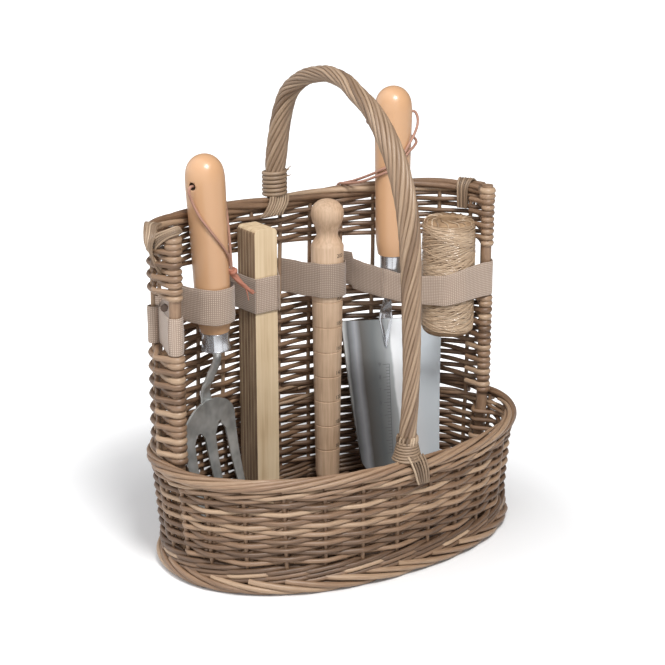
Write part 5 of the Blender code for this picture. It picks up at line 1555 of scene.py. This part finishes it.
def steel_finish(name, metallic, stops, half_width=None):
    """Polished steel tinted by soft patches or, with a half width, by painted reflections across it."""
    surface, tree, shader = finish(name, 0.2, Metallic=metallic)
    own = attribute(tree, "local")["Vector"]
    polish = node(tree, "ShaderNodeGroup", {"node_tree": POLISH}, Place=own).outputs
    place = polish["Patches"]
    if half_width:
        parts = node(tree, "ShaderNodeSeparateXYZ", Vector=own).outputs
        across = math_node(tree, "MULTIPLY_ADD", parts["Z"], REFLECTION_BAND_LEAN, parts["X"])
        place = math_node(tree, "MULTIPLY_ADD", across, 0.5 / half_width, REFLECTION_BAND_MIDDLE_SHARE)
        place = math_node(tree, "MULTIPLY_ADD", polish["Patches"], REFLECTION_BAND_RAGGED_SHARE, place)
    tree.links.new(ramp(tree, place, *stops), shader.inputs["Base Color"])
    tree.links.new(polish["Roughness"], shader.inputs["Roughness"])
    bump(tree, shader, polish["Height"], POLISH_DEPTH, POLISH_STRENGTH)
    return surface


BLADE_HALF_WIDTH = 0.0408
STEEL = steel_finish("polished_steel", 0.92, ((0.0, (0.55, 0.56, 0.59)), (1.0, (0.74, 0.75, 0.77))))
FORK_STEEL = steel_finish("fork_steel", 0.55, ((0.0, (0.36, 0.37, 0.36)), (1.0, (0.72, 0.73, 0.71))))
# Painted reflections on the blade: dark and light bands, and a near-white painted highlight in its middle.
BLADE_STEEL_PAINTED_REFLECTIONS = steel_finish(
    "blade_steel_painted_reflections", 0.5,
    (
        (0.00, (0.55, 0.55, 0.54)), (0.04, (0.12, 0.12, 0.12)), (0.12, (0.38, 0.39, 0.41)),
        (0.18, (0.13, 0.12, 0.11)), (0.30, (0.17, 0.18, 0.18)), (0.40, (0.30, 0.31, 0.31)),
        (0.465, (0.46, 0.48, 0.48)), (0.485, (0.97, 0.98, 0.99)), (0.60, (0.94, 0.96, 0.98)),
        (0.74, (0.82, 0.88, 0.92)), (1.0, (0.78, 0.84, 0.88)),
    ),
    BLADE_HALF_WIDTH,
)
print("steel:", STEEL.name, BLADE_STEEL_PAINTED_REFLECTIONS.name)

# %% Ferrules
FERRULE_LIP = 0.0004
FERRULE_WAIST = 0.0003
LIP_STEPS = 6
WAIST_STEPS = 8


def ferrule(name, body, radius, place, replaced):
    """A collar with a rolled lip at each end and a slight waist."""
    profile = [(0, FERRULE_LENGTH), (radius, FERRULE_LENGTH)]

    def add_lip(top):
        for step in range(LIP_STEPS + 1):
            angle = math.pi * step / LIP_STEPS
            level = top - FERRULE_LIP * (1 - math.cos(angle))
            profile.append((radius + FERRULE_LIP * math.sin(angle), level))

    add_lip(FERRULE_LENGTH)
    for step in range(1, WAIST_STEPS):
        share = step / WAIST_STEPS
        waist = FERRULE_WAIST * math.sin(math.pi * share)
        level = FERRULE_LENGTH - 2 * FERRULE_LIP - (FERRULE_LENGTH - 4 * FERRULE_LIP) * share
        profile.append((radius - waist, level))
    add_lip(2 * FERRULE_LIP)
    profile.append((0, 0))
    collar = turned(name, profile, STEEL, 64, place)
    place_piece(collar, body, "polished_steel", replaced)


ferrule("fork_collar", "fork", 0.0104, FORK_PLACE, "fork_ferrule")
ferrule("trowel_collar", "trowel", 0.0092, TROWEL_PLACE, "trowel_ferrule")
print("ferrules, mm long:", round(FERRULE_LENGTH * 1000, 1))

# %% Necks and plates
NECK_RADIUS = 0.0031
NECK_SIDES = 32
PLATE_THICKNESS = 0.0016
TOOL_OFFSET = 0.0130


def neck(length, bury, sweep):
    """Points and faces of an S from the ferrule to the plate, then a dart that fades down its face."""
    course = (
        (0, 0, -GAP),
        (0, 0, -length * 0.2),
        (0, TOOL_OFFSET / 2, -length / 2),
        (0, TOOL_OFFSET, -length * 0.8),
        (0, TOOL_OFFSET, -length),
        (0, TOOL_OFFSET - sweep * 0.3, -length - bury / 2),
        (0, TOOL_OFFSET - sweep, -length - bury),
    )
    stations, _ = smooth_line(course, 60)
    way = np.gradient(stations, axis=0)
    way /= np.linalg.norm(way, axis=1)[:, None]
    points = []
    for spot, direction in zip(stations, way):
        way_down = -spot[2]
        widen = min(1, max(0, (way_down - 0.6 * length) / (0.4 * length)))
        fade = min(1, max(0, (way_down - length) / bury))
        wide = NECK_RADIUS * (1 + 0.90 * widen) * (1 - 0.93 * fade)
        deep = NECK_RADIUS * (1 - 0.25 * widen) * (1 - 0.70 * fade)
        side = np.cross(direction, (1.0, 0, 0))
        for angle in np.linspace(0, 2 * np.pi, NECK_SIDES, endpoint=False):
            hollow = 1 - 1.5 * widen * max(0, math.sin(angle)) ** 2
            out = side * deep * math.sin(angle) * hollow
            points.append(tuple(spot + np.array([wide * math.cos(angle), 0, 0]) + out))
    faces = grid_faces(NECK_SIDES, len(stations), closed_columns=True)
    last = len(points) - NECK_SIDES
    return points, faces + [tuple(range(NECK_SIDES)), tuple(range(last, len(points)))]


def plate(rows_of_points, columns):
    """Both faces of a thin plate: each point is moved half the thickness along the plate's normal."""
    grid = np.array(rows_of_points).reshape(-1, columns, 3)
    across = np.gradient(grid, axis=1)
    down = np.gradient(grid, axis=0)
    normal = np.cross(across, down)
    normal /= np.maximum(np.linalg.norm(normal, axis=2), 1e-12)[:, :, None]
    sides = [grid + normal * PLATE_THICKNESS / 2, grid - normal * PLATE_THICKNESS / 2]
    rows = len(grid)
    points = np.concatenate([side.reshape(-1, 3) for side in sides]).tolist()
    faces = grid_faces(columns, rows)
    back_faces = [tuple(corner + rows * columns for corner in face)[::-1] for face in faces]
    border = list(range(columns)) + [row * columns + columns - 1 for row in range(1, rows)]
    border += [(rows - 1) * columns + column for column in range(columns - 2, -1, -1)]
    border += [row * columns for row in range(rows - 2, 0, -1)]
    rim_faces = [
        (first, second, second + rows * columns, first + rows * columns)
        for first, second in zip(border, border[1:] + border[:1])
    ]
    return points, faces + back_faces + rim_faces


def joined(parts):
    """Points and faces of several shells as one."""
    points = []
    faces = []
    for part_points, part_faces in parts:
        start = len(points)
        points += part_points
        faces += [tuple(corner + start for corner in face) for face in part_faces]
    return points, faces


print("plates, mm thick:", round(PLATE_THICKNESS * 1000, 1))

# %% [markdown]
# The fork is forged from one piece: its head widens in a round shoulder and parts into three tapered tines,
# which sweep forward. Each tine is built with its third of the head, from edge lines worked out at each
# station, so that the slots end in a round root.

# %% Head of the fork
FORK_NECK = 0.0440
FORK_LENGTH = 0.0850
FORK_HALF_WIDTH = 0.0296
TINE_HALF_WIDTH = 0.0059
TINE_TIP_HALF_WIDTH = 0.0030
SLOT_SHARE = 0.26
FORK_SWEEP = 0.0120
FORK_CREASE = 0.0030
STRIP_COLUMNS = 9
FORK_STATIONS = 100


def fork_edges(share):
    """Half widths at a share of the fork's length: of the middle tine, and of the outer one's two edges."""
    taper = min(1, max(0, (share - SLOT_SHARE) / (1 - SLOT_SHARE)))
    tine = TINE_HALF_WIDTH + (TINE_TIP_HALF_WIDTH - TINE_HALF_WIDTH) * taper
    shoulder = min(1, share / SLOT_SHARE)
    outside = NECK_RADIUS + (FORK_HALF_WIDTH - NECK_RADIUS) * math.sqrt(1 - (1 - shoulder) ** 2)
    opening = math.sqrt(min(1, max(0, share - SLOT_SHARE) * 13))
    slot_middle = max(outside / 3, (outside - tine) / 2)
    side_centre = FORK_HALF_WIDTH - TINE_HALF_WIDTH
    middle_edge = slot_middle + (tine - slot_middle) * opening
    inner_edge = slot_middle + (side_centre - tine - slot_middle) * opening
    outer_edge = outside if taper == 0 else side_centre + tine
    return middle_edge, min(inner_edge, outer_edge), outer_edge


def fork_strip(which):
    """One tine and its part of the head: -1, 0 and 1 from left to right."""
    rows = []
    for station in range(FORK_STATIONS + 1):
        share = station / FORK_STATIONS
        middle, inner, outer = fork_edges(share)
        low, high = (-middle, middle) if which == 0 else sorted((which * inner, which * outer))
        for across in np.linspace(-1, 1, STRIP_COLUMNS):
            x = (low + high) / 2 + (high - low) / 2 * across
            crown = 0.0007 * (1 - across**2) * min(1, max(0, share - SLOT_SHARE) * 5)
            crease = FORK_CREASE * abs(x) / FORK_HALF_WIDTH * max(0, 1 - share / SLOT_SHARE)
            y = TOOL_OFFSET - FORK_SWEEP * share**2 - crease - crown
            rows.append((x, y, -FORK_NECK - FORK_LENGTH * share))
    return plate(rows, STRIP_COLUMNS)


fork_neck = neck(FORK_NECK, bury=0.0200, sweep=0.0012)
points, faces = joined([fork_neck] + [fork_strip(which) for which in (-1, 0, 1)])
fork_head = solid("fork_steel", points, faces, FORK_STEEL, FORK_PLACE, sharp_deg=40)
place_piece(fork_head, "fork", "polished_steel", "fork_head")
print("fork faces:", len(fork_head.data.polygons))

# %% [markdown]
# The blade is pressed from sheet: dished across, with a gutter that runs down from the neck, square
# shoulders and a round tip. Its rows lie closer together towards the tip, where the outline turns.

# %% Blade of the trowel
BLADE_TOP = 0.1365
BLADE_SHIFT = 0.0022
BLADE_LOW_SHARE = 0.78
BLADE_TIP_SHARE = 0.84
BLADE_TROUGH = 0.0082
SHOULDER_LIFT = 0.0036
BLADE_LEAN = 0.0055
BLADE_SWEEP = 0.0180
BLADE_COLUMNS = 41
BLADE_ROWS = 60
BLADE_FOOT = FOOT_LEVEL
TROWEL_FOOT = 0.1780
TROWEL_NECK = TROWEL_FOOT - BLADE_TOP
BLADE_LENGTH = BLADE_TOP - BLADE_FOOT - PLATE_THICKNESS


def blade_half_width(share):
    """Square shoulders, a gentle taper and a round tip."""
    body = BLADE_HALF_WIDTH * (1 + (BLADE_LOW_SHARE - 1) * min(1, share / BLADE_TIP_SHARE))
    past = max(0, (share - BLADE_TIP_SHARE) / (1 - BLADE_TIP_SHARE))
    return max(NECK_RADIUS, body * math.sqrt(max(0, 1 - past**2)))


def blade_depth(x, share):
    """How far back the blade's middle surface stands at a place on it."""
    gutter = 0.0016 * math.exp(-((x / 0.0040) ** 2)) * max(0, 1 - share / 0.5)
    return TOOL_OFFSET - BLADE_TROUGH * (x / BLADE_HALF_WIDTH) ** 2 - BLADE_SWEEP * share**1.5 + gutter


rows = []
for row in range(BLADE_ROWS + 1):
    share = math.sin(math.pi / 2 * row / BLADE_ROWS)
    width = blade_half_width(share)
    if row == 0:
        width *= 0.97
    for across in np.linspace(-1, 1, BLADE_COLUMNS):
        x = width * across + BLADE_SHIFT + BLADE_LEAN * share
        lift = SHOULDER_LIFT * across**2 * (1 - share) ** 6
        rows.append((x, blade_depth(x, share), lift - TROWEL_NECK - BLADE_LENGTH * share))
trowel_neck = neck(TROWEL_NECK, bury=0.0230, sweep=0.0024)
points, faces = joined([trowel_neck, plate(rows, BLADE_COLUMNS)])
trowel_head = solid("trowel_steel", points, faces, STEEL, TROWEL_PLACE, sharp_deg=40)
trowel_head.data.materials.append(BLADE_STEEL_PAINTED_REFLECTIONS)
neck_faces = len(trowel_neck[1])
for face in trowel_head.data.polygons:
    face.material_index = 1 if face.index >= neck_faces else 0
place_piece(trowel_head, "trowel", "polished_steel", "trowel_head")
print("trowel faces:", len(trowel_head.data.polygons))

# %% Depth scale on the blade
ETCH, _, etch_shader = finish("etched_marks", 0.55, Metallic=0.3)
etch_shader.inputs["Base Color"].default_value = (0.06, 0.06, 0.065, 1)
SCALE_X = 0.0020
SCALE_TICKS = 29
SCALE_TOP = 0.0360
SCALE_STEP = 0.0025
TICKS_TO_NUMBER = 4
LONG_TICK = 0.0052
SHORT_TICK = 0.0026
LINE_WIDTH = 0.00036
SCALE_NUMBERS = 8
NUMBERS_LEFT = 0.0080


def on_blade(x, down):
    """A point just in front of the blade, from its place across and its distance below the shoulders."""
    share = down / BLADE_LENGTH
    y = blade_depth(x, share) - PLATE_THICKNESS / 2 - FIGURE_LIFT
    return tuple(TROWEL_PLACE @ Vector((x, y, -TROWEL_NECK - down)))


tick_points = []
tick_faces = []


def mark(low_x, high_x, top, bottom):
    """A thin printed line as one quad."""
    start = len(tick_points)
    for x, down in ((low_x, top), (high_x, top), (high_x, bottom), (low_x, bottom)):
        tick_points.append(on_blade(x, down))
    tick_faces.append((start, start + 3, start + 2, start + 1))


for tick in range(SCALE_TICKS):
    down = SCALE_TOP + tick * SCALE_STEP
    reach = SHORT_TICK if tick % TICKS_TO_NUMBER else LONG_TICK
    mark(SCALE_X - reach, SCALE_X, down, down + LINE_WIDTH)
for tick in range(SCALE_TICKS - 1):
    down = SCALE_TOP + tick * SCALE_STEP
    mark(SCALE_X, SCALE_X + LINE_WIDTH, down, down + SCALE_STEP)
marks = bpy.data.meshes.new("blade_scale")
marks.from_pydata(tick_points, [], tick_faces)
marks.materials.append(ETCH)
blade_scale = bpy.data.objects.new("blade_scale", marks)
bpy.context.collection.objects.link(blade_scale)
place_piece(blade_scale, "trowel", "polished_steel")
blade_items = []
for number in range(SCALE_NUMBERS):
    height = -(SCALE_TOP + TICKS_TO_NUMBER * number * SCALE_STEP)
    blade_items.append((str(9 - number), SCALE_X - NUMBERS_LEFT, height))
blade_numbers = figures(
    "blade_numbers", blade_items, NUMBER_SIZE, ETCH, lambda x, height: on_blade(x, -height)
)
place_piece(blade_numbers, "trowel", "polished_steel")
print("ticks:", SCALE_TICKS)

# %% [markdown]
# ## Twine
# The spool is wound in crossing layers, each a single strand whose turns slant across it. The script works
# out each layer's line, and the rod tree that swept the willow sweeps the strands too.

# %% Twine
JUTE = strand_finish(
    "jute",
    (
        (0.00, (0.15, 0.087, 0.047)),
        (0.40, (0.34, 0.228, 0.136)),
        (0.75, (0.50, 0.360, 0.237)),
        (1.00, (0.70, 0.560, 0.410)),
    ),
    0.55, across=2.6, along=900.0, blotches=120.0, depth=0.00025, Coat_Weight=0.9, Coat_Roughness=0.12,
)
TWINE_BOTTOM = 0.1330
TWINE_HEIGHT = 0.0905
TWINE_STRAND = 0.00047
WINDING_STEPS = 34
SLANT_DRIFT = 1.06  # turns of slant for each turn of winding, so that the slants don't line up
TWINE_TURNS = 40
WINDING_MARGIN = 0.0030
SHOULDER_PULL = 0.0034  # how far the first and last turns lie in, which rounds the spool's edges
SHOULDER_REACH = 0.0026
SLANT_FADE = 0.012  # how far from an end the slant is full
LEAST_SLANT_SHARE = 0.06
TWINE_WAVE = 0.00025
TWINE_SLANTS = (0.0072, 0.0050, -0.0040, 0.0088, 0.0064, 0.0080, -0.0060, 0.0070, 0.0094)
LAYER_SINK = 0.0011
LAYER_STEP = 0.00007
TOP_STRANDS = 16


def round_twine(reach, angle, level):
    """Points round the spool's axis."""
    return np.column_stack([
        TWINE_CENTRE.x + reach * np.cos(angle), TWINE_CENTRE.y + reach * np.sin(angle), level,
    ])


def twine_layer(reach, slant, phase):
    """One strand wound up the spool; each turn slants across it."""
    part = np.linspace(0, 1, TWINE_TURNS * WINDING_STEPS)
    angle = 2 * np.pi * TWINE_TURNS * part
    low = TWINE_BOTTOM + WINDING_MARGIN
    rise = TWINE_HEIGHT - 2 * WINDING_MARGIN
    edge = np.minimum(part, 1 - part) * rise
    pull = SHOULDER_PULL * np.exp(-edge / SHOULDER_REACH)
    fade = np.clip(edge / SLANT_FADE, LEAST_SLANT_SHARE, 1)
    level = low + rise * part + slant * np.sin(SLANT_DRIFT * angle + phase) * fade
    own = reach - pull + TWINE_WAVE * np.sin(angle * 0.37)
    return line(round_twine(own, angle, level), TWINE_STRAND, shade=rng.uniform(0.3, 0.9))


twine_lines = []
for number, slant in enumerate(TWINE_SLANTS):
    reach = TWINE_RADIUS - LAYER_SINK + LAYER_STEP * number
    twine_lines.append(twine_layer(reach, slant, phase=2.6 + 0.3 * number))
for number in range(TOP_STRANDS):
    angle = 2 * np.pi * number / TOP_STRANDS + rng.uniform(-0.1, 0.1)
    ends = np.array([0.0070, 0.0100, 0.0140, 0.0178, 0.0186])
    heights = TWINE_BOTTOM + TWINE_HEIGHT + np.array([-0.0080, -0.0012, -0.0006, -0.0014, -0.0050])
    curl = angle + ends * 70
    spots = round_twine(ends, curl, heights)
    twine_lines.append(line(smooth_line(spots, 16)[0], TWINE_STRAND))
twine = rods("twine_strands", twine_lines, JUTE, sides=5, unevenness=0.30)
place_piece(twine, "twine", "jute", "twine_winding")
print("strands of twine:", len(twine_lines))

# %% [markdown]
# The spool's middle is a turned piece with a hollow at its top. It fills what shows between the strands.

# %% Middle of the spool
HOLLOW_DEPTH = 0.0090
top = TWINE_BOTTOM + TWINE_HEIGHT
core_profile = [
    (0, top - HOLLOW_DEPTH), (0.0066, top - HOLLOW_DEPTH), (0.0072, top - 0.0016), (0.0090, top - 0.0008),
    (0.0165, top - 0.0014), (0.0186, top - 0.0034), (0.0187, TWINE_BOTTOM + 0.0034),
    (0.0165, TWINE_BOTTOM + 0.0012), (0, TWINE_BOTTOM + 0.0004),
]
JUTE_CORE = board_finish(
    "jute_core",
    ((0.0, (0.16, 0.09, 0.045)), (1.0, (0.42, 0.28, 0.16))),
    0.8, across=120.0, along=1500.0, blotches=200.0, depth=0.0003,
)
core = turned("twine_middle", core_profile, JUTE_CORE, 48, Matrix.Translation(TWINE_CENTRE))
place_piece(core, "twine", "jute", "twine_core")
print("middle of the spool, faces:", len(core.data.polygons))

# %% [markdown]
# ## Laces
# Each tool hangs by a leather lace through the hole in its handle. A route is given in the handle's own
# terms: degrees round it from its front, height share of the wood, and lift off the wood.

# %% Lace routes
LACE_RADIUS = 0.0010
LACE_SPACING = 0.0042
FORK_LACE_ROUTE = (
    (32.0, 0.350, 0.0000), (22.0, 0.412, 0.0000), (4.0, 0.466, 0.0000), (-25.0, 0.547, 0.0000),
    (-49.0, 0.620, 0.0000), (-69.0, 0.683, 0.0002), (-84.0, 0.748, 0.0006), (-89.0, 0.800, 0.0020),
    (-90.0, 0.832, 0.0026), (-90.0, 0.845, 0.0008), (-90.0, 0.845, -0.0040), (90.0, 0.845, -0.0040),
    (90.0, 0.845, 0.0008), (89.0, 0.832, 0.0026), (86.0, 0.790, 0.0020), (76.0, 0.702, 0.0010),
    (62.0, 0.580, 0.0004), (51.0, 0.451, 0.0002), (45.0, 0.350, 0.0002),
)
FORK_TAIL_ROUTE = (
    (38.5, 0.347, 0.0004), (39.0, 0.318, 0.0016), (41.0, 0.280, 0.0046), (43.0, 0.238, 0.0095),
    (45.0, 0.195, 0.0146),
)
TROWEL_LACE_ROUTE = (
    (-139.4, 0.279, 0.0322), (-139.6, 0.334, 0.0318), (-137.7, 0.380, 0.0298), (-131.8, 0.402, 0.0242),
    (-124.2, 0.424, 0.0166), (-108.3, 0.462, 0.0066), (-76.0, 0.502, 0.0004), (-55.0, 0.523, 0.0000),
    (-35.0, 0.543, 0.0000), (-16.0, 0.566, 0.0000), (6.0, 0.600, 0.0000), (32.0, 0.666, 0.0000),
    (60.0, 0.726, 0.0012), (80.0, 0.780, 0.0032), (90.0, 0.828, 0.0030), (90.0, 0.845, 0.0008),
    (90.0, 0.845, -0.0040), (-90.0, 0.845, -0.0040), (-90.0, 0.845, 0.0008), (-92.0, 0.832, 0.0030),
    (-112.0, 0.785, 0.0040), (-149.0, 0.748, 0.0030), (175.0, 0.722, 0.0026), (143.0, 0.704, 0.0030),
    (115.0, 0.690, 0.0034), (86.0, 0.672, 0.0030), (58.0, 0.650, 0.0010), (32.0, 0.624, 0.0000),
    (6.0, 0.568, 0.0000), (-16.0, 0.535, 0.0000), (-35.0, 0.516, 0.0000), (-55.0, 0.496, 0.0002),
    (-74.0, 0.478, 0.0009), (-105.0, 0.437, 0.0085), (-121.0, 0.411, 0.0194), (-128.0, 0.400, 0.0270),
    (-134.0, 0.378, 0.0322), (-135.6, 0.334, 0.0340), (-136.0, 0.279, 0.0345),
)
TROWEL_KNOT = (-137.7, 0.2585, 0.0334)


def wood_reach(share, radius):
    """A handle's radius at a height share of its wood, from the ferrule up."""
    shares, thicks = zip(*WOOD_SHARES)
    return radius * np.interp(1 - share, shares, thicks)


def off_wood(step, place, length, radius):
    """The point in the scene of one step of a route."""
    degrees, share, lift = step
    angle = math.radians(degrees)
    reach = wood_reach(share, radius) + GAP + LACE_RADIUS + lift
    height = FERRULE_LENGTH + GAP + length * share
    return place @ Vector((math.sin(angle) * reach, -math.cos(angle) * reach, height))

print("points of the laces:", len(FORK_LACE_ROUTE), len(TROWEL_LACE_ROUTE))

# %% Laces and knots
LEATHER = strand_finish(
    "leather_lace",
    ((0.0, (0.17, 0.070, 0.045)), (0.45, (0.33, 0.165, 0.115)), (1.0, (0.50, 0.30, 0.22))),
    0.6, across=1.2, along=160.0, blotches=60.0, depth=0.0001,
)
TAIL_LEATHER = strand_finish(
    "lace_tail",
    ((0.0, (0.23, 0.070, 0.042)), (1.0, (0.47, 0.20, 0.13))),
    0.65, across=1.2, along=160.0, blotches=60.0, depth=0.0001,
)


def lace(name, steps, wood, body, replaced):
    """A lace along its route; its real length is printed."""
    route = [off_wood(step, *wood) for step in steps]
    _, length = smooth_line(route, 2)
    path, _ = smooth_line(route, round(length / LACE_SPACING) + 1)
    path, length = smooth_line(path, len(path) * 3)
    piece = rods(name, [line(path, LACE_RADIUS, shade=0.5)], LEATHER, sides=12, unevenness=0.06)
    place_piece(piece, body, "leather_lace", replaced)
    print(name, "length, mm:", round(length * 1000))


def knot_loop(centre, size):
    """A closed line that winds through itself, as a tight overhand knot does."""
    t = np.linspace(0, 2 * np.pi, 60)[:-1]
    spots = np.column_stack([
        np.sin(t) + 2 * np.sin(2 * t), np.cos(t) - 2 * np.cos(2 * t), -np.sin(3 * t),
    ]) * size / 3
    return spots + np.asarray(centre)


FRAYED_ENDS = 6
tail_route = [off_wood(step, *FORK_WOOD) for step in FORK_TAIL_ROUTE]
tail_path, _ = smooth_line(tail_route, 20)
tail_lines = [line(knot_loop(tail_path[1], 0.0033), 0.0015, shade=0.6, closed=True)]
for strand in range(3):
    angle = 2 * np.pi * (strand / 3 + np.linspace(0, 0.8, 20))
    twist = np.column_stack([np.cos(angle), np.sin(angle), np.zeros(20)])
    twist = twist * np.linspace(0.0012, 0.0003, 20)[:, None]
    tail_lines.append(line(tail_path + twist, np.linspace(0.0018, 0.0009, 20), shade=0.5 + 0.2 * strand))
for _ in range(FRAYED_ENDS):
    drift = rng.normal(size=3) * 0.0016
    spots = tail_path[12:] + np.linspace(0, 1, 8)[:, None] ** 1.5 * drift
    tail_lines.append(line(spots, np.linspace(0.0006, 0.0003, 8), shade=rng.uniform(0.4, 1)))
fork_knot = rods("fork_lace_tail", tail_lines, TAIL_LEATHER, sides=8, unevenness=0.06)
place_piece(fork_knot, "fork", "leather_lace", "fork_lace_knot")
lace("fork_lace_cord", FORK_LACE_ROUTE, FORK_WOOD, "fork", "fork_lace")

knot_centre = off_wood(TROWEL_KNOT, *TROWEL_WOOD)
knot_lines = [line(knot_loop(knot_centre, 0.0021), 0.0009, shade=0.5, closed=True)]
trowel_knot = rods("trowel_lace_end", knot_lines, LEATHER, sides=8, unevenness=0.06)
place_piece(trowel_knot, "trowel", "leather_lace", "trowel_lace_knot")
lace("trowel_lace_cord", TROWEL_LACE_ROUTE, TROWEL_WOOD, "trowel", "trowel_lace")

# %% [markdown]
# ## Light and floor
# The product stands on a white sweep under soft light. A bright world fills the shadows, brighter from the
# left, and one large lamp in front and above, a little to the left, models the forms. The world has darker
# parts, or the steel would look flat. The paper glows a little away from the basket, for the camera alone,
# so that the backdrop is as white as the photograph's.

# %% Light
bpy.context.scene.view_settings.view_transform = "Standard"
world = bpy.data.worlds.new("studio")
bpy.context.scene.world = world
world.use_nodes = True
tree = world.node_tree
background = tree.nodes["Background"]
direction = node(tree, "ShaderNodeTexCoord").outputs["Generated"]
way = node(tree, "ShaderNodeSeparateXYZ", Vector=direction).outputs
height = node(tree, "ShaderNodeMapRange", Value=way["Z"], From_Min=-1.0, From_Max=1.0).outputs[0]
around = ramp(
    tree, height,
    (0.0, (0.50, 0.50, 0.50)), (0.47, (0.70, 0.71, 0.72)), (0.56, (0.72, 0.74, 0.76)),
    (0.72, (0.50, 0.50, 0.52)), (1.0, (0.90, 0.90, 0.90)),
)
side = node(
    tree, "ShaderNodeMapRange", Value=way["X"], From_Min=-0.30, From_Max=0.12, To_Min=1.9, To_Max=0.25
).outputs[0]
around = node(tree, "ShaderNodeVectorMath", {"operation": "SCALE"}, i0=around, Scale=side).outputs[0]
seen = node(tree, "ShaderNodeLightPath").outputs["Is Camera Ray"]
shown = node(tree, "ShaderNodeMix", {"data_type": "RGBA"}, i0=seen)
tree.links.new(around, shown.inputs[6])
shown.inputs[7].default_value = (1, 1, 1, 1)
tree.links.new(shown.outputs[2], background.inputs["Color"])

LAMP_PLACE = Vector((-0.30, -1.15, 1.70))
LAMP_AIM = Vector((0, 0, 0.15))
light = bpy.data.lights.new("key", "AREA")
light.shape = "DISK"
light.size = 0.55
light.energy = 35
lamp = bpy.data.objects.new("key", light)
lamp.location = LAMP_PLACE
lamp.rotation_euler = (LAMP_PLACE - LAMP_AIM).to_track_quat("Z", "Y").to_euler()
bpy.context.collection.objects.link(lamp)
print("lamp, W:", light.energy)

# %% Floor
FLOOR_SIZE = 12.0
sheet_mesh = bpy.data.meshes.new("studio_floor")
half = FLOOR_SIZE / 2
floor_corners = [(-half, -half, 0), (half, -half, 0), (half, half, 0), (-half, half, 0)]
sheet_mesh.from_pydata(floor_corners, [], [(0, 1, 2, 3)])
PAPER, tree, shader = finish("white_paper", 0.9)
shader.inputs["Base Color"].default_value = (0.82, 0.82, 0.82, 1)
shader.inputs["Emission Color"].default_value = (1, 1, 1, 1)
spot = node(tree, "ShaderNodeTexCoord").outputs["Object"]
far = node(tree, "ShaderNodeVectorMath", {"operation": "LENGTH"}, i0=spot).outputs["Value"]
fill = node(
    tree, "ShaderNodeMapRange", Value=far, From_Min=0.17, From_Max=0.45, To_Min=0.03, To_Max=0.6
).outputs[0]
glow = math_node(tree, "MULTIPLY", node(tree, "ShaderNodeLightPath").outputs["Is Camera Ray"], fill)
tree.links.new(glow, shader.inputs["Emission Strength"])
sheet_mesh.materials.append(PAPER)
studio_floor = bpy.data.objects.new("studio_floor", sheet_mesh)
bpy.context.collection.objects.link(studio_floor)
print("studio floor, m:", FLOOR_SIZE)
